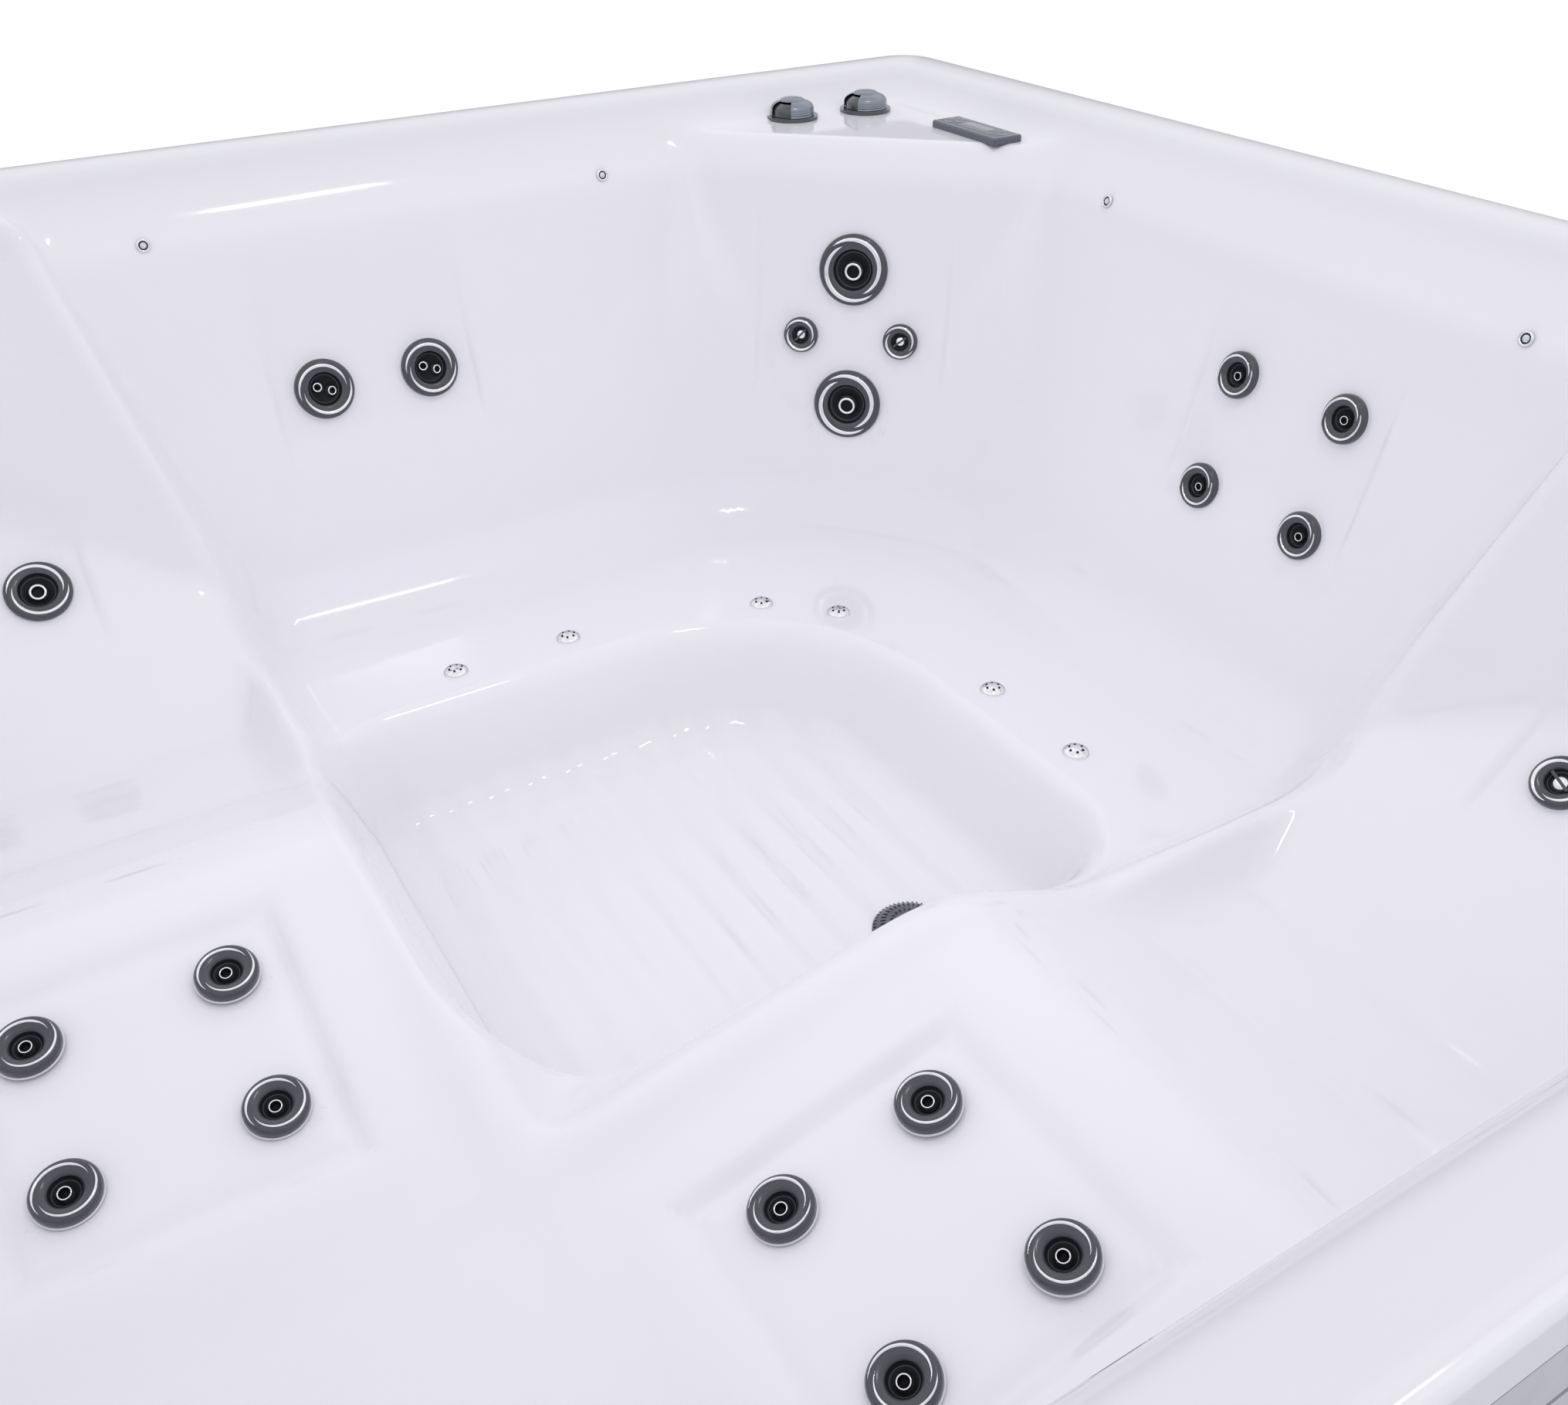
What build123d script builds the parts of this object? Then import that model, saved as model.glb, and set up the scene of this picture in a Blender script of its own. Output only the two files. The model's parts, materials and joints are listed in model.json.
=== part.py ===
from build123d import *
import os
from math import cos, radians, sin, sqrt, tan

os.makedirs("parts", exist_ok=True)

# Hot tub for five or six people: a moulded acrylic shell with a three-place bench round its far
# corner and two loungers along its other sides, in a framed cabinet that holds pump, heater and air.
# Millimetres. X runs along the back wall, Y towards it, Z up. The origin is the centre of the base.

# Overall sizes
side = 2130
height = 910
corner_radius = 66
overrun = 40

# Rim of the shell
lip_width = 53
lip_depth = 25
lip_flare = 12
rim_plate = 12
skirt_height = 70
skirt_wall = 8
edge_round = 14
shell_wall = 10
throat_round = 70

# Seat backs, bench and footwell: depths below the rim, rises above the ground and distances in from the sides
shoulder_depth = 75
shoulder_inset = 63
back_tilt = 15
corner_tilt = 10
corner_inset = 473.1
crease_rise = 325
crease_inset = 42
bench_rise = 263
ridge_share = 0.2986
ridge_fan = 92
well_round = 110
floor_rise = 110
bench_width = 596
nose_round = 270
footwell_inset = 27
footwell_round = 110
rib_width = 14
rib_height = 5
rib_spacing = 58
rib_margin = 55

# Corner decks beside the rim
shelf_depth = 52
shelf_leg = 520
deck_inset = 456

# Loungers: side walls, and the lying surface as shares of reach and of depth
lounge_inset = 15
lounge_foot_rise = 210
lounge_batter = 55
lounge_round = 60
lounge_shares = (
    (0.975, 0.286),
    (0.934, 0.550),
    (0.675, 0.864),
    (0.590, 0.936),
    (0.376, 0.936),
    (0.213, 0.764),
    (0.122, 0.743),
    (-0.426, 0.957),
    (-0.610, 1.000),
    (-1.000, 1.000),
)

# Padded-look jet panels pressed into the backs
panel_recess = 5
panel_round = 18
seat_panel_width = 304
seat_panel_length = 262
seat_panel_offset = -27
seat_panel_share = 0.4915
corner_panel_width = 310
corner_panel_length = 336
corner_panel_share = 0.5332
lounge_panel_side = 300
lounge_panel_shift = 13.5
lounge_panel_inset = 185
calf_panel_side = 310
calf_panel_shift = 53.5
calf_panel_reach = -83

# Jets: face radii, and spacings from the middle of each panel
large_jet = 55
medium_jet = 43
small_jet = 31
mini_jet = 28
jet_face_height = 13
jet_face_bevel = 3
jet_face_gap = 0.1
jet_barrel_share = 0.62
jet_barrel_length = 72
bore_clearance = 0.4
pair_spacing = 160
quad_spacing = 177
quad_rise = 155
calf_spacing = 185
calf_rise = 160
lounge_spacing = 170
corner_rise = 214
corner_spacing = 164

# Air injectors and lights
injector_radius = 17
injector_top = 9
injector_height = 8
injector_stem_radius = 10
injector_stem_length = 48
injector_setback = 82
injector_near = -72
injector_far = 104
injector_corner_insets = (70, 16)
light_radius = 9
light_proud = 2.5
light_length = 30
light_depth = 95
light_ridge_gap = 24
light_inset = 678

# Valves and their knobs on the far corner shelf
diverter_insets = (330, 130)
air_valve_insets = (200, 150)
valve_flange_radius = 42
valve_flange_height = 5
valve_barrel_radius = 30
valve_barrel_length = 120
valve_port_radius = 21
valve_port_length = 40
knob_radius = 36
knob_side_height = 13
knob_crown_radius = 22
knob_crown_height = 10
knob_button_radius = 14
knob_button_height = 3
knob_notch_width = 26
knob_notch_depth = 11
knob_notch_height = 15
knob_gap = 0.5

# Topside control on the shelf
control_insets = (153, 390)
control_width = 54
control_length = 160
control_height = 11
control_bevel = 3
display_width = 24
display_length = 62
display_recess = 1
key_width = 9
key_length = 13
key_height = 3.4
key_proud = 1
key_travel = 0.6
key_side_gap = 0.25
key_floor_gap = 0.1
key_corner = 2
far_key_places = ((68, 0), (56, 13), (56, -13), (44, 0))
near_key_places = ((-48, 12), (-48, -12), (-64, 0))

# Suction fitting in the footwell floor
suction_inset = 199
suction_line = -105
suction_radius = 50
suction_crown_radius = 38
suction_height = 16
suction_slot_width = 5
suction_slot_count = 10
suction_slot_inner = 12
suction_rim = 6
suction_barrel_radius = 26
suction_barrel_length = 48

# Filter in the near left corner
filter_setback = 140
filter_radius = 82
filter_wall = 5
filter_length = 290
filter_port_radius = 20
filter_port_length = 40
filter_flange_radius = 100
filter_flange_height = 5
filter_lid_radius = 96
filter_lid_height = 9
filter_lid_grip_radius = 22
filter_lid_grip_depth = 5
cartridge_radius = 62
cartridge_bore_radius = 24
cartridge_length = 225
cartridge_cap_radius = 66
cartridge_cap_height = 12
weir_width = 130
weir_height = 90
weir_top_depth = 110
weir_wall = 4
weir_flap_thickness = 5
weir_flap_height = 80
weir_lead = 14
weir_pin_reach = 24
weir_gap = 1.5
weir_pin_radius = 4

# Cabinet: base, frame, panels and corner trims
cabinet_inset = 20
base_thickness = 40
base_inset = 34
plinth_margin = 227
trench_width = 96
trench_end = 60
post_width = 45
post_depth = 22
rail_depth = 10
foot_rail_height = 60
head_rail_drop = 130
post_offset = 350
panel_thickness = 12
panel_end_gap = 92
panel_foot_gap = 6
panel_top_gap = 14
access_top_gap = 74
trim_width = 90
trim_wall = 16
trim_round = 40
slat_count = 13
slat_groove_width = 6
slat_groove_depth = 3
handle_width = 180
handle_height = 34
handle_depth = 6
handle_offset = 520
handle_drop = 210

# Pump under the near lounger
pump_inset = 445
pump_axis_z = 158
wet_end_setback = 185.36
wet_end_length = 96
wet_end_radius = 98
wet_end_wall = 9
wet_foot_width = 110
wet_foot_length = 40
union_radius = 27
union_bore = 16
union_length = 46
motor_radius = 80
motor_length = 250
motor_foot_width = 130
motor_foot_length = 150
motor_cap_length = 26
motor_cap_radius = 60
shaft_radius = 8
shaft_length = 90
shaft_running_gap = 0.05
impeller_radius = 70
impeller_hub_radius = 20
impeller_plate = 5
impeller_length = 30
impeller_gap = 14
vane_count = 5
vane_width = 6

# Heater, control box and hoses behind the access panel
hose_radius = 16
branch_hose_radius = 14
hose_bend = 48
heater_radius = 27
heater_length = 330
heater_middle = -120
heater_inset = 87
heater_rise = 105
heater_union_radius = 32
heater_union_length = 24
saddle_width = 54
saddle_length = 30
saddle_offset = 110
box_width = 330
box_thickness = 48
box_height = 210
box_inset = 73
box_foot = 160
box_corner = 10
gland_radius = 11
gland_length = 16
gland_count = 4
gland_spacing = 60

# Hose routes between fittings, and the suction port under the footwell
suction_port_drop = 29
suction_port_reach = 60
suction_port_radius = 18
suction_run_gaps = (93, 92)
suction_turn_gap = 18
filter_branch_gap = 80
filter_run_inset = 275
filter_run_z = 75
discharge_inset = 185
discharge_lead = 81
return_inset = 175

# Air blower and pipework
blower_inset = 440
blower_reach = 165
blower_radius = 88
blower_height = 120
blower_neck_radius = 44
blower_neck_height = 60
blower_port_length = 114
pipe_radius = 17
air_pipe_end = -120
air_pipe_bend = 60
manifold_radius = 22
manifold_share = 0.7805
manifold_inset = 115
manifold_start_inset = 365
manifold_bend = 90
clamp_length = 30

half = side / 2
lip_half = half - lip_width
throat_half = lip_half - lip_flare
shoulder_half = throat_half - shoulder_inset
cabinet_half = half - cabinet_inset
frame_half = cabinet_half - panel_thickness
floor_depth = height - floor_rise
bench_depth = height - bench_rise
crease_depth = height - crease_rise
lounge_foot_depth = height - lounge_foot_rise
floor_level = floor_rise
ridge_line = ridge_share * half
bench_nose = half - bench_width
corner_distance = half * sqrt(2) - corner_inset
deck_distance = half * sqrt(2) - deck_inset
lounge_reach = throat_half - lounge_inset
lounge_middle = (lounge_reach + ridge_line) / 2
injector_line = bench_nose + injector_setback
injector_corner = (bench_nose - injector_corner_insets[0], bench_nose + injector_corner_insets[1])
suction_place = (bench_nose - suction_inset, suction_line)
diverter_place = (half - diverter_insets[0], half - diverter_insets[1])
air_valve_place = (half - air_valve_insets[0], half - air_valve_insets[1])
control_place = (half - control_insets[0], half - control_insets[1])


def level(depth):
    return height - depth


def wall_at(depth):
    return shoulder_half - (depth - shoulder_depth) * tan(radians(back_tilt))


def corner_at(depth):
    return corner_distance - (depth - shoulder_depth) * tan(radians(corner_tilt))


def keep(piece, label):
    piece.part.label = label
    export_step(piece.part, f"parts/{label}.step")


# Places on the shell: each is a plane whose Z leaves the surface and whose Y climbs it
def back_place(along, depth):
    lean = radians(back_tilt)
    return Plane(origin=(along, wall_at(depth), level(depth)), x_dir=(1, 0, 0), z_dir=(0, -cos(lean), sin(lean)))


def swapped(place):
    at = place.origin
    out = place.z_dir
    along = place.x_dir
    return Plane(origin=(at.Y, at.X, at.Z), x_dir=(-along.Y, -along.X, -along.Z), z_dir=(out.Y, out.X, out.Z))


def side_place(along, depth):
    return swapped(back_place(along, depth))


def corner_place(depth):
    lean = radians(corner_tilt)
    reach = corner_at(depth) / sqrt(2)
    out = -cos(lean) / sqrt(2)
    return Plane(origin=(reach, reach, level(depth)), x_dir=(1, -1, 0), z_dir=(out, out, sin(lean)))


def lounge_point(share_pair):
    return (share_pair[0] * lounge_reach, level(share_pair[1] * lounge_foot_depth))


def lounge_place(across, reach, upper, lower):
    head = lounge_point(upper)
    foot = lounge_point(lower)
    rise = (head[1] - foot[1]) / (head[0] - foot[0])
    up = Vector(0, 1, rise)
    return Plane(
        origin=(-across, reach, foot[1] + (reach - foot[0]) * rise),
        x_dir=(1, 0, 0),
        z_dir=Vector(1, 0, 0).cross(up),
    )


def on(place, across, up, sunk):
    spot = place.from_local_coords(Vector(across, up, -sunk))
    return Plane(origin=spot, x_dir=place.x_dir, z_dir=place.z_dir)


seat_panel_depth = seat_panel_share * bench_depth
corner_panel_depth = corner_panel_share * bench_depth
landing_level = lounge_place(0, -ridge_line, lounge_shares[6], lounge_shares[7]).origin.Z

seat_panel = back_place(seat_panel_offset, seat_panel_depth)
side_panel = side_place(seat_panel_offset, seat_panel_depth)
corner_panel = corner_place(corner_panel_depth)
lounge_panel_offset = lounge_middle - lounge_panel_shift
lounge_panel_reach = lounge_reach - lounge_panel_inset
calf_panel_offset = lounge_middle - calf_panel_shift
left_back_panel = lounge_place(lounge_panel_offset, lounge_panel_reach, lounge_shares[1], lounge_shares[2])
left_calf_panel = lounge_place(calf_panel_offset, calf_panel_reach, lounge_shares[6], lounge_shares[7])
near_back_panel = swapped(left_back_panel)
near_calf_panel = swapped(left_calf_panel)
seat_panel_size = (seat_panel_width, seat_panel_length)
corner_panel_size = (corner_panel_width, corner_panel_length)
lounge_panel_size = (lounge_panel_side, lounge_panel_side)
calf_panel_size = (calf_panel_side, calf_panel_side)
panels = (
    (seat_panel, seat_panel_size),
    (side_panel, seat_panel_size),
    (corner_panel, corner_panel_size),
    (left_back_panel, lounge_panel_size),
    (near_back_panel, lounge_panel_size),
    (left_calf_panel, calf_panel_size),
    (near_calf_panel, calf_panel_size),
)

jets = []


def place_jet(label, panel, across, up, radius):
    jets.append((label, on(panel, across, up, panel_recess - jet_face_gap), radius))


place_jet("jet_back_left", seat_panel, -pair_spacing / 2, 0, medium_jet)
place_jet("jet_back_right", seat_panel, pair_spacing / 2, 0, medium_jet)
place_jet("jet_corner_top", corner_panel, 0, corner_rise / 2, large_jet)
place_jet("jet_corner_bottom", corner_panel, 0, -corner_rise / 2, large_jet)
place_jet("jet_corner_left", corner_panel, -corner_spacing / 2, 0, mini_jet)
place_jet("jet_corner_right", corner_panel, corner_spacing / 2, 0, mini_jet)
for row, up in (("top", quad_rise / 2), ("bottom", -quad_rise / 2)):
    place_jet(f"jet_side_{row}_left", side_panel, -quad_spacing / 2, up, small_jet)
    place_jet(f"jet_side_{row}_right", side_panel, quad_spacing / 2, up, small_jet)
for lounge, back, calf, inner_radius, outer_radius in (
    ("left_lounge", left_back_panel, left_calf_panel, medium_jet, medium_jet),
    ("near_lounge", near_back_panel, near_calf_panel, small_jet, small_jet),
):
    turn = 1 if lounge == "left_lounge" else -1
    place_jet(f"jet_{lounge}_back_inner", back, turn * lounge_spacing / 2, 0, inner_radius)
    place_jet(f"jet_{lounge}_back_outer", back, -turn * lounge_spacing / 2, 0, outer_radius)
    for row, up in (("knee", calf_rise / 2), ("ankle", -calf_rise / 2)):
        place_jet(f"jet_{lounge}_{row}_inner", calf, turn * calf_spacing / 2, up, small_jet)
        place_jet(f"jet_{lounge}_{row}_outer", calf, -turn * calf_spacing / 2, up, small_jet)

injector_places = []
for across, along in ((injector_near, injector_line), (injector_far, injector_line), injector_corner):
    injector_places.append((across, along))
    injector_places.append((along, across))

lights = []
for along in (light_ridge_gap - ridge_line, half - light_inset):
    lights.append(back_place(along, light_depth))
    lights.append(side_place(along, light_depth))

valve_places = (diverter_place, air_valve_place)
filter_distance = deck_distance + filter_setback
filter_reach = filter_distance / sqrt(2)
weir_front = deck_distance - weir_lead
filter_place = (-filter_reach, -filter_reach)
weir_plane = Plane(
    origin=(-filter_reach, -filter_reach, level(weir_top_depth + weir_height / 2)),
    x_dir=(-1, 1, 0),
    z_dir=(1, 1, 0),
)
footwell_middle = (bench_nose - ridge_line) / 2
rib_length = bench_nose + ridge_line - 2 * footwell_inset - 2 * rib_margin
rib_count = int(rib_length / rib_spacing)


# The water space of the shell, cut from the shell as it is and added to it grown by one wall
def seat_outline(wall, corner, ridge):
    turn = corner * sqrt(2) - wall
    return ((-ridge, wall), (turn, wall), (wall, turn), (wall, -ridge), (-ridge, -ridge))


def rounded_outline(points, depth, radius):
    with BuildSketch(Plane.XY.offset(level(depth))) as outline:
        with BuildLine():
            Polyline(*points, close=True)
        make_face()
        fillet(outline.vertices(), radius)
    return outline.sketch


def seat_well(grow):
    stages = (
        (lip_depth, throat_half, corner_at(lip_depth), ridge_line + ridge_fan),
        (shoulder_depth, shoulder_half, corner_at(shoulder_depth), ridge_line + ridge_fan),
        (crease_depth, wall_at(crease_depth), corner_at(crease_depth), ridge_line),
        (bench_depth + grow, wall_at(bench_depth) - crease_inset, corner_at(bench_depth) - crease_inset, ridge_line),
    )
    with BuildPart() as well:
        for upper, lower in zip(stages[:-1], stages[1:]):
            sections = []
            for depth, wall, corner, ridge in (upper, lower):
                points = seat_outline(wall + grow, corner + grow, ridge + grow)
                sections.append(rounded_outline(points, depth, well_round))
            loft(sections, ruled=True)
    return well.part


def lounge_well(grow):
    points = [(lounge_reach, level(lip_depth))]
    points += [lounge_point(pair) for pair in lounge_shares]
    points.append((-lounge_reach, level(lip_depth)))
    foot_half = lounge_reach - lounge_batter
    with BuildPart() as well:
        with BuildSketch(Plane.YZ.offset(-ridge_line)) as profile:
            with BuildLine():
                Polyline(*points, close=True)
            make_face()
            inner = profile.vertices().filter_by(lambda corner: corner.Y < level(lip_depth) - edge_round)
            fillet(inner.filter_by(lambda corner: corner.X > -lounge_reach + edge_round), lounge_round)
            if grow:
                offset(amount=grow, kind=Kind.INTERSECTION)
        extrude(amount=-(lounge_reach + grow - ridge_line))
        sections = []
        for depth, reach, deck in (
            (lip_depth, lounge_reach + grow, deck_distance + grow),
            (floor_depth, foot_half + grow, deck_distance - lounge_batter + grow),
        ):
            cut = deck * sqrt(2) - reach
            points = ((-reach, reach), (reach, reach), (reach, -reach), (-cut, -reach), (-reach, -cut))
            sections.append(rounded_outline(points, depth, throat_round))
        loft(sections, ruled=True, mode=Mode.INTERSECT)
        split(bisect_by=Plane(origin=(0, 0, 0), z_dir=(-1, 1, 0)), keep=Keep.TOP)
    return well.part


# Level landing where both calf slopes meet the round near corner of the footwell
def landing(grow):
    middle = ridge_line - well_round / 2 + grow / 2
    with BuildPart() as space:
        with BuildSketch(Plane.XY.offset(landing_level - grow)):
            with Locations((-middle, -middle)):
                Rectangle(well_round + grow, well_round + grow)
        extrude(amount=level(lip_depth) - landing_level + grow)
    return space.part


def footwell(grow):
    with BuildPart() as well:
        sections = []
        for depth, inset in ((bench_depth - overrun, 0), (floor_depth + grow, footwell_inset)):
            nose = bench_nose - inset + grow
            ridge = ridge_line - inset + grow
            with BuildSketch(Plane.XY.offset(level(depth))) as outline:
                with BuildLine():
                    Polyline((-ridge, -ridge), (nose, -ridge), (nose, nose), (-ridge, nose), close=True)
                make_face()
                far = outline.vertices().sort_by(Axis((0, 0, 0), (1, 1, 0)))[-1]
                fillet(far, nose_round)
                near = outline.vertices().filter_by(lambda corner: corner.X < 0 or corner.Y < 0)
                fillet(near.filter_by(lambda corner: abs(corner.X) > footwell_round), footwell_round)
            sections.append(outline.sketch)
        loft(sections, ruled=True)
    return well.part


def rim_throat(grow, top):
    with BuildPart() as throat:
        sections = []
        for depth, reach in ((-top, lip_half), (lip_depth, throat_half)):
            with BuildSketch(Plane.XY.offset(level(depth))) as outline:
                RectangleRounded(2 * (reach + grow), 2 * (reach + grow), throat_round)
            sections.append(outline.sketch)
        loft(sections, ruled=True)
    return throat.part


def corner_shelf(grow):
    edge = throat_half + grow
    leg = shelf_leg + grow
    with BuildPart() as shelf:
        with BuildSketch(Plane.XY.offset(level(shelf_depth + grow))) as outline:
            for way in (1, -1):
                with BuildLine():
                    Polyline(
                        (way * edge, way * edge),
                        (way * (edge - leg), way * edge),
                        (way * edge, way * (edge - leg)),
                        close=True,
                    )
                make_face()
            corners = outline.vertices().filter_by(lambda corner: abs(corner.X - corner.Y) < edge_round)
            fillet(corners, throat_round)
        extrude(amount=shelf_depth + grow - lip_depth + rim_plate)
    return shelf.part


def cavity(grow, top):
    with BuildPart() as space:
        add(seat_well(grow))
        lounge = lounge_well(grow)
        add(lounge)
        mirror(lounge, about=Plane(origin=(0, 0, 0), z_dir=(1, -1, 0)))
        add(landing(grow))
        add(footwell(grow))
        add(corner_shelf(grow))
        add(rim_throat(grow, top))
    return space.part


# Moulded shell
with BuildPart() as shell:
    with BuildSketch(Plane.XY.offset(level(skirt_height))):
        RectangleRounded(side, side, corner_radius)
    extrude(amount=skirt_height)
    fillet(shell.faces().sort_by(Axis.Z)[-1].outer_wire().edges(), edge_round)
    with BuildSketch(Plane.XY.offset(level(skirt_height))):
        RectangleRounded(side - 2 * skirt_wall, side - 2 * skirt_wall, corner_radius - skirt_wall)
    extrude(amount=skirt_height - rim_plate, mode=Mode.SUBTRACT)
    add(cavity(shell_wall, 0))
    add(cavity(0, overrun), mode=Mode.SUBTRACT)
    for width, length in sorted({size for _, size in panels}):
        with BuildSketch(*[on(place, 0, 0, panel_recess) for place, size in panels if size == (width, length)]):
            RectangleRounded(width, length, panel_round)
        extrude(amount=panel_recess + edge_round, mode=Mode.SUBTRACT)
    with BuildSketch(Plane((footwell_middle, footwell_middle, floor_level))):
        with GridLocations(rib_spacing, 0, rib_count, 1):
            Rectangle(rib_width, rib_length)
        with Locations(Location((suction_place[0] - footwell_middle, suction_place[1] - footwell_middle))):
            Circle(suction_radius + rib_width / 2, mode=Mode.SUBTRACT)
    extrude(amount=rib_height)
    for radius in sorted({size for _, _, size in jets}):
        with BuildSketch(*[on(place, 0, 0, overrun) for _, place, size in jets if size == radius]):
            Circle(radius * jet_barrel_share + bore_clearance)
        extrude(amount=2 * overrun, mode=Mode.SUBTRACT)
    with BuildSketch(*[on(place, 0, 0, overrun) for place in lights]):
        Circle(light_radius + bore_clearance)
    extrude(amount=2 * overrun, mode=Mode.SUBTRACT)
    with BuildSketch(Plane.XY.offset(level(bench_depth) - overrun)):
        with Locations(*injector_places):
            Circle(injector_stem_radius + bore_clearance)
    extrude(amount=2 * overrun, mode=Mode.SUBTRACT)
    with BuildSketch(Plane.XY.offset(level(shelf_depth) - overrun)):
        with Locations(*valve_places):
            Circle(valve_barrel_radius + bore_clearance)
        with Locations(filter_place):
            Circle(filter_radius + filter_wall + bore_clearance)
    extrude(amount=2 * overrun, mode=Mode.SUBTRACT)
    with BuildSketch(Plane.XY.offset(floor_level - overrun)):
        with Locations(suction_place):
            Circle(suction_barrel_radius + bore_clearance)
    extrude(amount=2 * overrun, mode=Mode.SUBTRACT)
    with BuildSketch(weir_plane):
        Rectangle(weir_width + 2 * weir_wall + bore_clearance, weir_height + 2 * weir_wall + bore_clearance)
    extrude(amount=filter_distance - deck_distance + overrun, mode=Mode.SUBTRACT)
keep(shell, "shell")

# Jet faces, which turn to open and close each jet, and the barrels behind them
for label, place, radius in jets:
    with BuildPart(place) as jet_face:
        Cone(radius, radius - jet_face_bevel, jet_face_height, align=(Align.CENTER, Align.CENTER, Align.MIN))
    keep(jet_face, label)

with BuildPart() as jet_bodies:
    for radius in sorted({size for _, _, size in jets}):
        with BuildSketch(*[place for _, place, size in jets if size == radius]):
            Circle(radius * jet_barrel_share)
        extrude(amount=-jet_barrel_length)
keep(jet_bodies, "jet_bodies")

# Bubble jets in the bench floor: domed caps on barbed stems
with BuildPart() as air_injectors:
    for across, along in injector_places:
        with Locations((across, along, level(bench_depth))):
            Cone(injector_radius, injector_top, injector_height, align=(Align.CENTER, Align.CENTER, Align.MIN))
            Cylinder(
                injector_stem_radius,
                injector_stem_length,
                align=(Align.CENTER, Align.CENTER, Align.MAX),
            )
keep(air_injectors, "air_injectors")

with BuildPart() as led_lights:
    with BuildSketch(*[on(place, 0, 0, -light_proud) for place in lights]):
        Circle(light_radius)
    extrude(amount=-light_length)
keep(led_lights, "led_lights")


# Valves under the far shelf and the knobs that turn them
def valve(spot):
    with BuildPart(Plane((*spot, level(shelf_depth)))) as body:
        Cylinder(valve_flange_radius, valve_flange_height, align=(Align.CENTER, Align.CENTER, Align.MIN))
        Cylinder(valve_barrel_radius, valve_barrel_length, align=(Align.CENTER, Align.CENTER, Align.MAX))
        with Locations((0, 0, -valve_barrel_length)):
            Cylinder(valve_port_radius, valve_port_length, align=(Align.CENTER, Align.CENTER, Align.MAX))
    return body


def knob(spot):
    seat = level(shelf_depth) + valve_flange_height + knob_gap
    with BuildPart(Plane((*spot, seat))) as cap:
        Cylinder(knob_radius, knob_side_height, align=(Align.CENTER, Align.CENTER, Align.MIN))
        with Locations((0, 0, knob_side_height)):
            Cone(knob_radius, knob_crown_radius, knob_crown_height, align=(Align.CENTER, Align.CENTER, Align.MIN))
        with Locations((0, 0, knob_side_height + knob_crown_height)):
            Cylinder(knob_button_radius, knob_button_height, align=(Align.CENTER, Align.CENTER, Align.MIN))
        with Locations((-knob_radius, 0, 0)):
            Box(
                2 * knob_notch_depth,
                knob_notch_width,
                knob_notch_height,
                align=(Align.CENTER, Align.CENTER, Align.MIN),
                mode=Mode.SUBTRACT,
            )
    return cap


keep(valve(diverter_place), "diverter_valve")
keep(valve(air_valve_place), "air_valve")
keep(knob(diverter_place), "diverter_knob")
keep(knob(air_valve_place), "air_knob")

# Topside control: housing on the shelf, display window and seven keys in wells
control_top = level(shelf_depth) + control_height
key_well = key_height - key_proud + key_travel + key_floor_gap
keys = (
    ("key_up", *far_key_places[0]),
    ("key_light", *far_key_places[1]),
    ("key_air", *far_key_places[2]),
    ("key_down", *far_key_places[3]),
    ("key_pump_one", *near_key_places[0]),
    ("key_pump_two", *near_key_places[1]),
    ("key_menu", *near_key_places[2]),
)
control_plane = Plane(origin=(*control_place, control_top), x_dir=(0, 1, 0), z_dir=(0, 0, 1))
with BuildPart() as topside_housing:
    with BuildSketch(control_plane.offset(-control_height)):
        RectangleRounded(control_length, control_width, control_bevel)
    extrude(amount=control_height)
    chamfer(topside_housing.faces().sort_by(Axis.Z)[-1].edges(), control_bevel / 2)
    with BuildSketch(control_plane):
        Rectangle(display_length, display_width)
    extrude(amount=-display_recess, mode=Mode.SUBTRACT)
    with BuildSketch(control_plane):
        with Locations(*[(along, across) for _, along, across in keys]):
            Rectangle(key_length + 2 * key_side_gap, key_width + 2 * key_side_gap)
    extrude(amount=-key_well, mode=Mode.SUBTRACT)
keep(topside_housing, "topside_housing")

with BuildPart() as topside_display:
    with BuildSketch(control_plane):
        Rectangle(display_length - 2 * key_side_gap, display_width - 2 * key_side_gap)
    extrude(amount=-display_recess)
keep(topside_display, "topside_display")

for label, along, across in keys:
    with BuildPart() as key:
        with BuildSketch(on(control_plane, along, across, -key_proud)) as cap:
            Rectangle(key_length, key_width)
            chamfer(cap.vertices(), key_corner)
        extrude(amount=-key_height)
    keep(key, label)

# Suction fitting: slotted cover on the footwell floor and its body through the floor
with BuildPart(Plane((*suction_place, floor_level))) as suction_cover:
    Cone(suction_radius, suction_crown_radius, suction_height, align=(Align.CENTER, Align.CENTER, Align.MIN))
    slot_length = suction_crown_radius - suction_rim - suction_slot_inner
    with BuildSketch(Plane((*suction_place, floor_level + suction_height))):
        with PolarLocations(suction_slot_inner + slot_length / 2, suction_slot_count):
            Rectangle(slot_length, suction_slot_width)
    extrude(amount=-suction_height / 2, mode=Mode.SUBTRACT)
keep(suction_cover, "suction_cover")

suction_port_level = floor_level - suction_port_drop
with BuildPart(Plane((*suction_place, floor_level))) as suction_body:
    Cylinder(suction_barrel_radius, suction_barrel_length, align=(Align.CENTER, Align.CENTER, Align.MAX))
    with BuildSketch(Plane(origin=(*suction_place, suction_port_level), x_dir=(1, 0, 0), z_dir=(0, -1, 0))):
        Circle(suction_port_radius)
    extrude(amount=suction_port_reach)
keep(suction_body, "suction_body")

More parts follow.
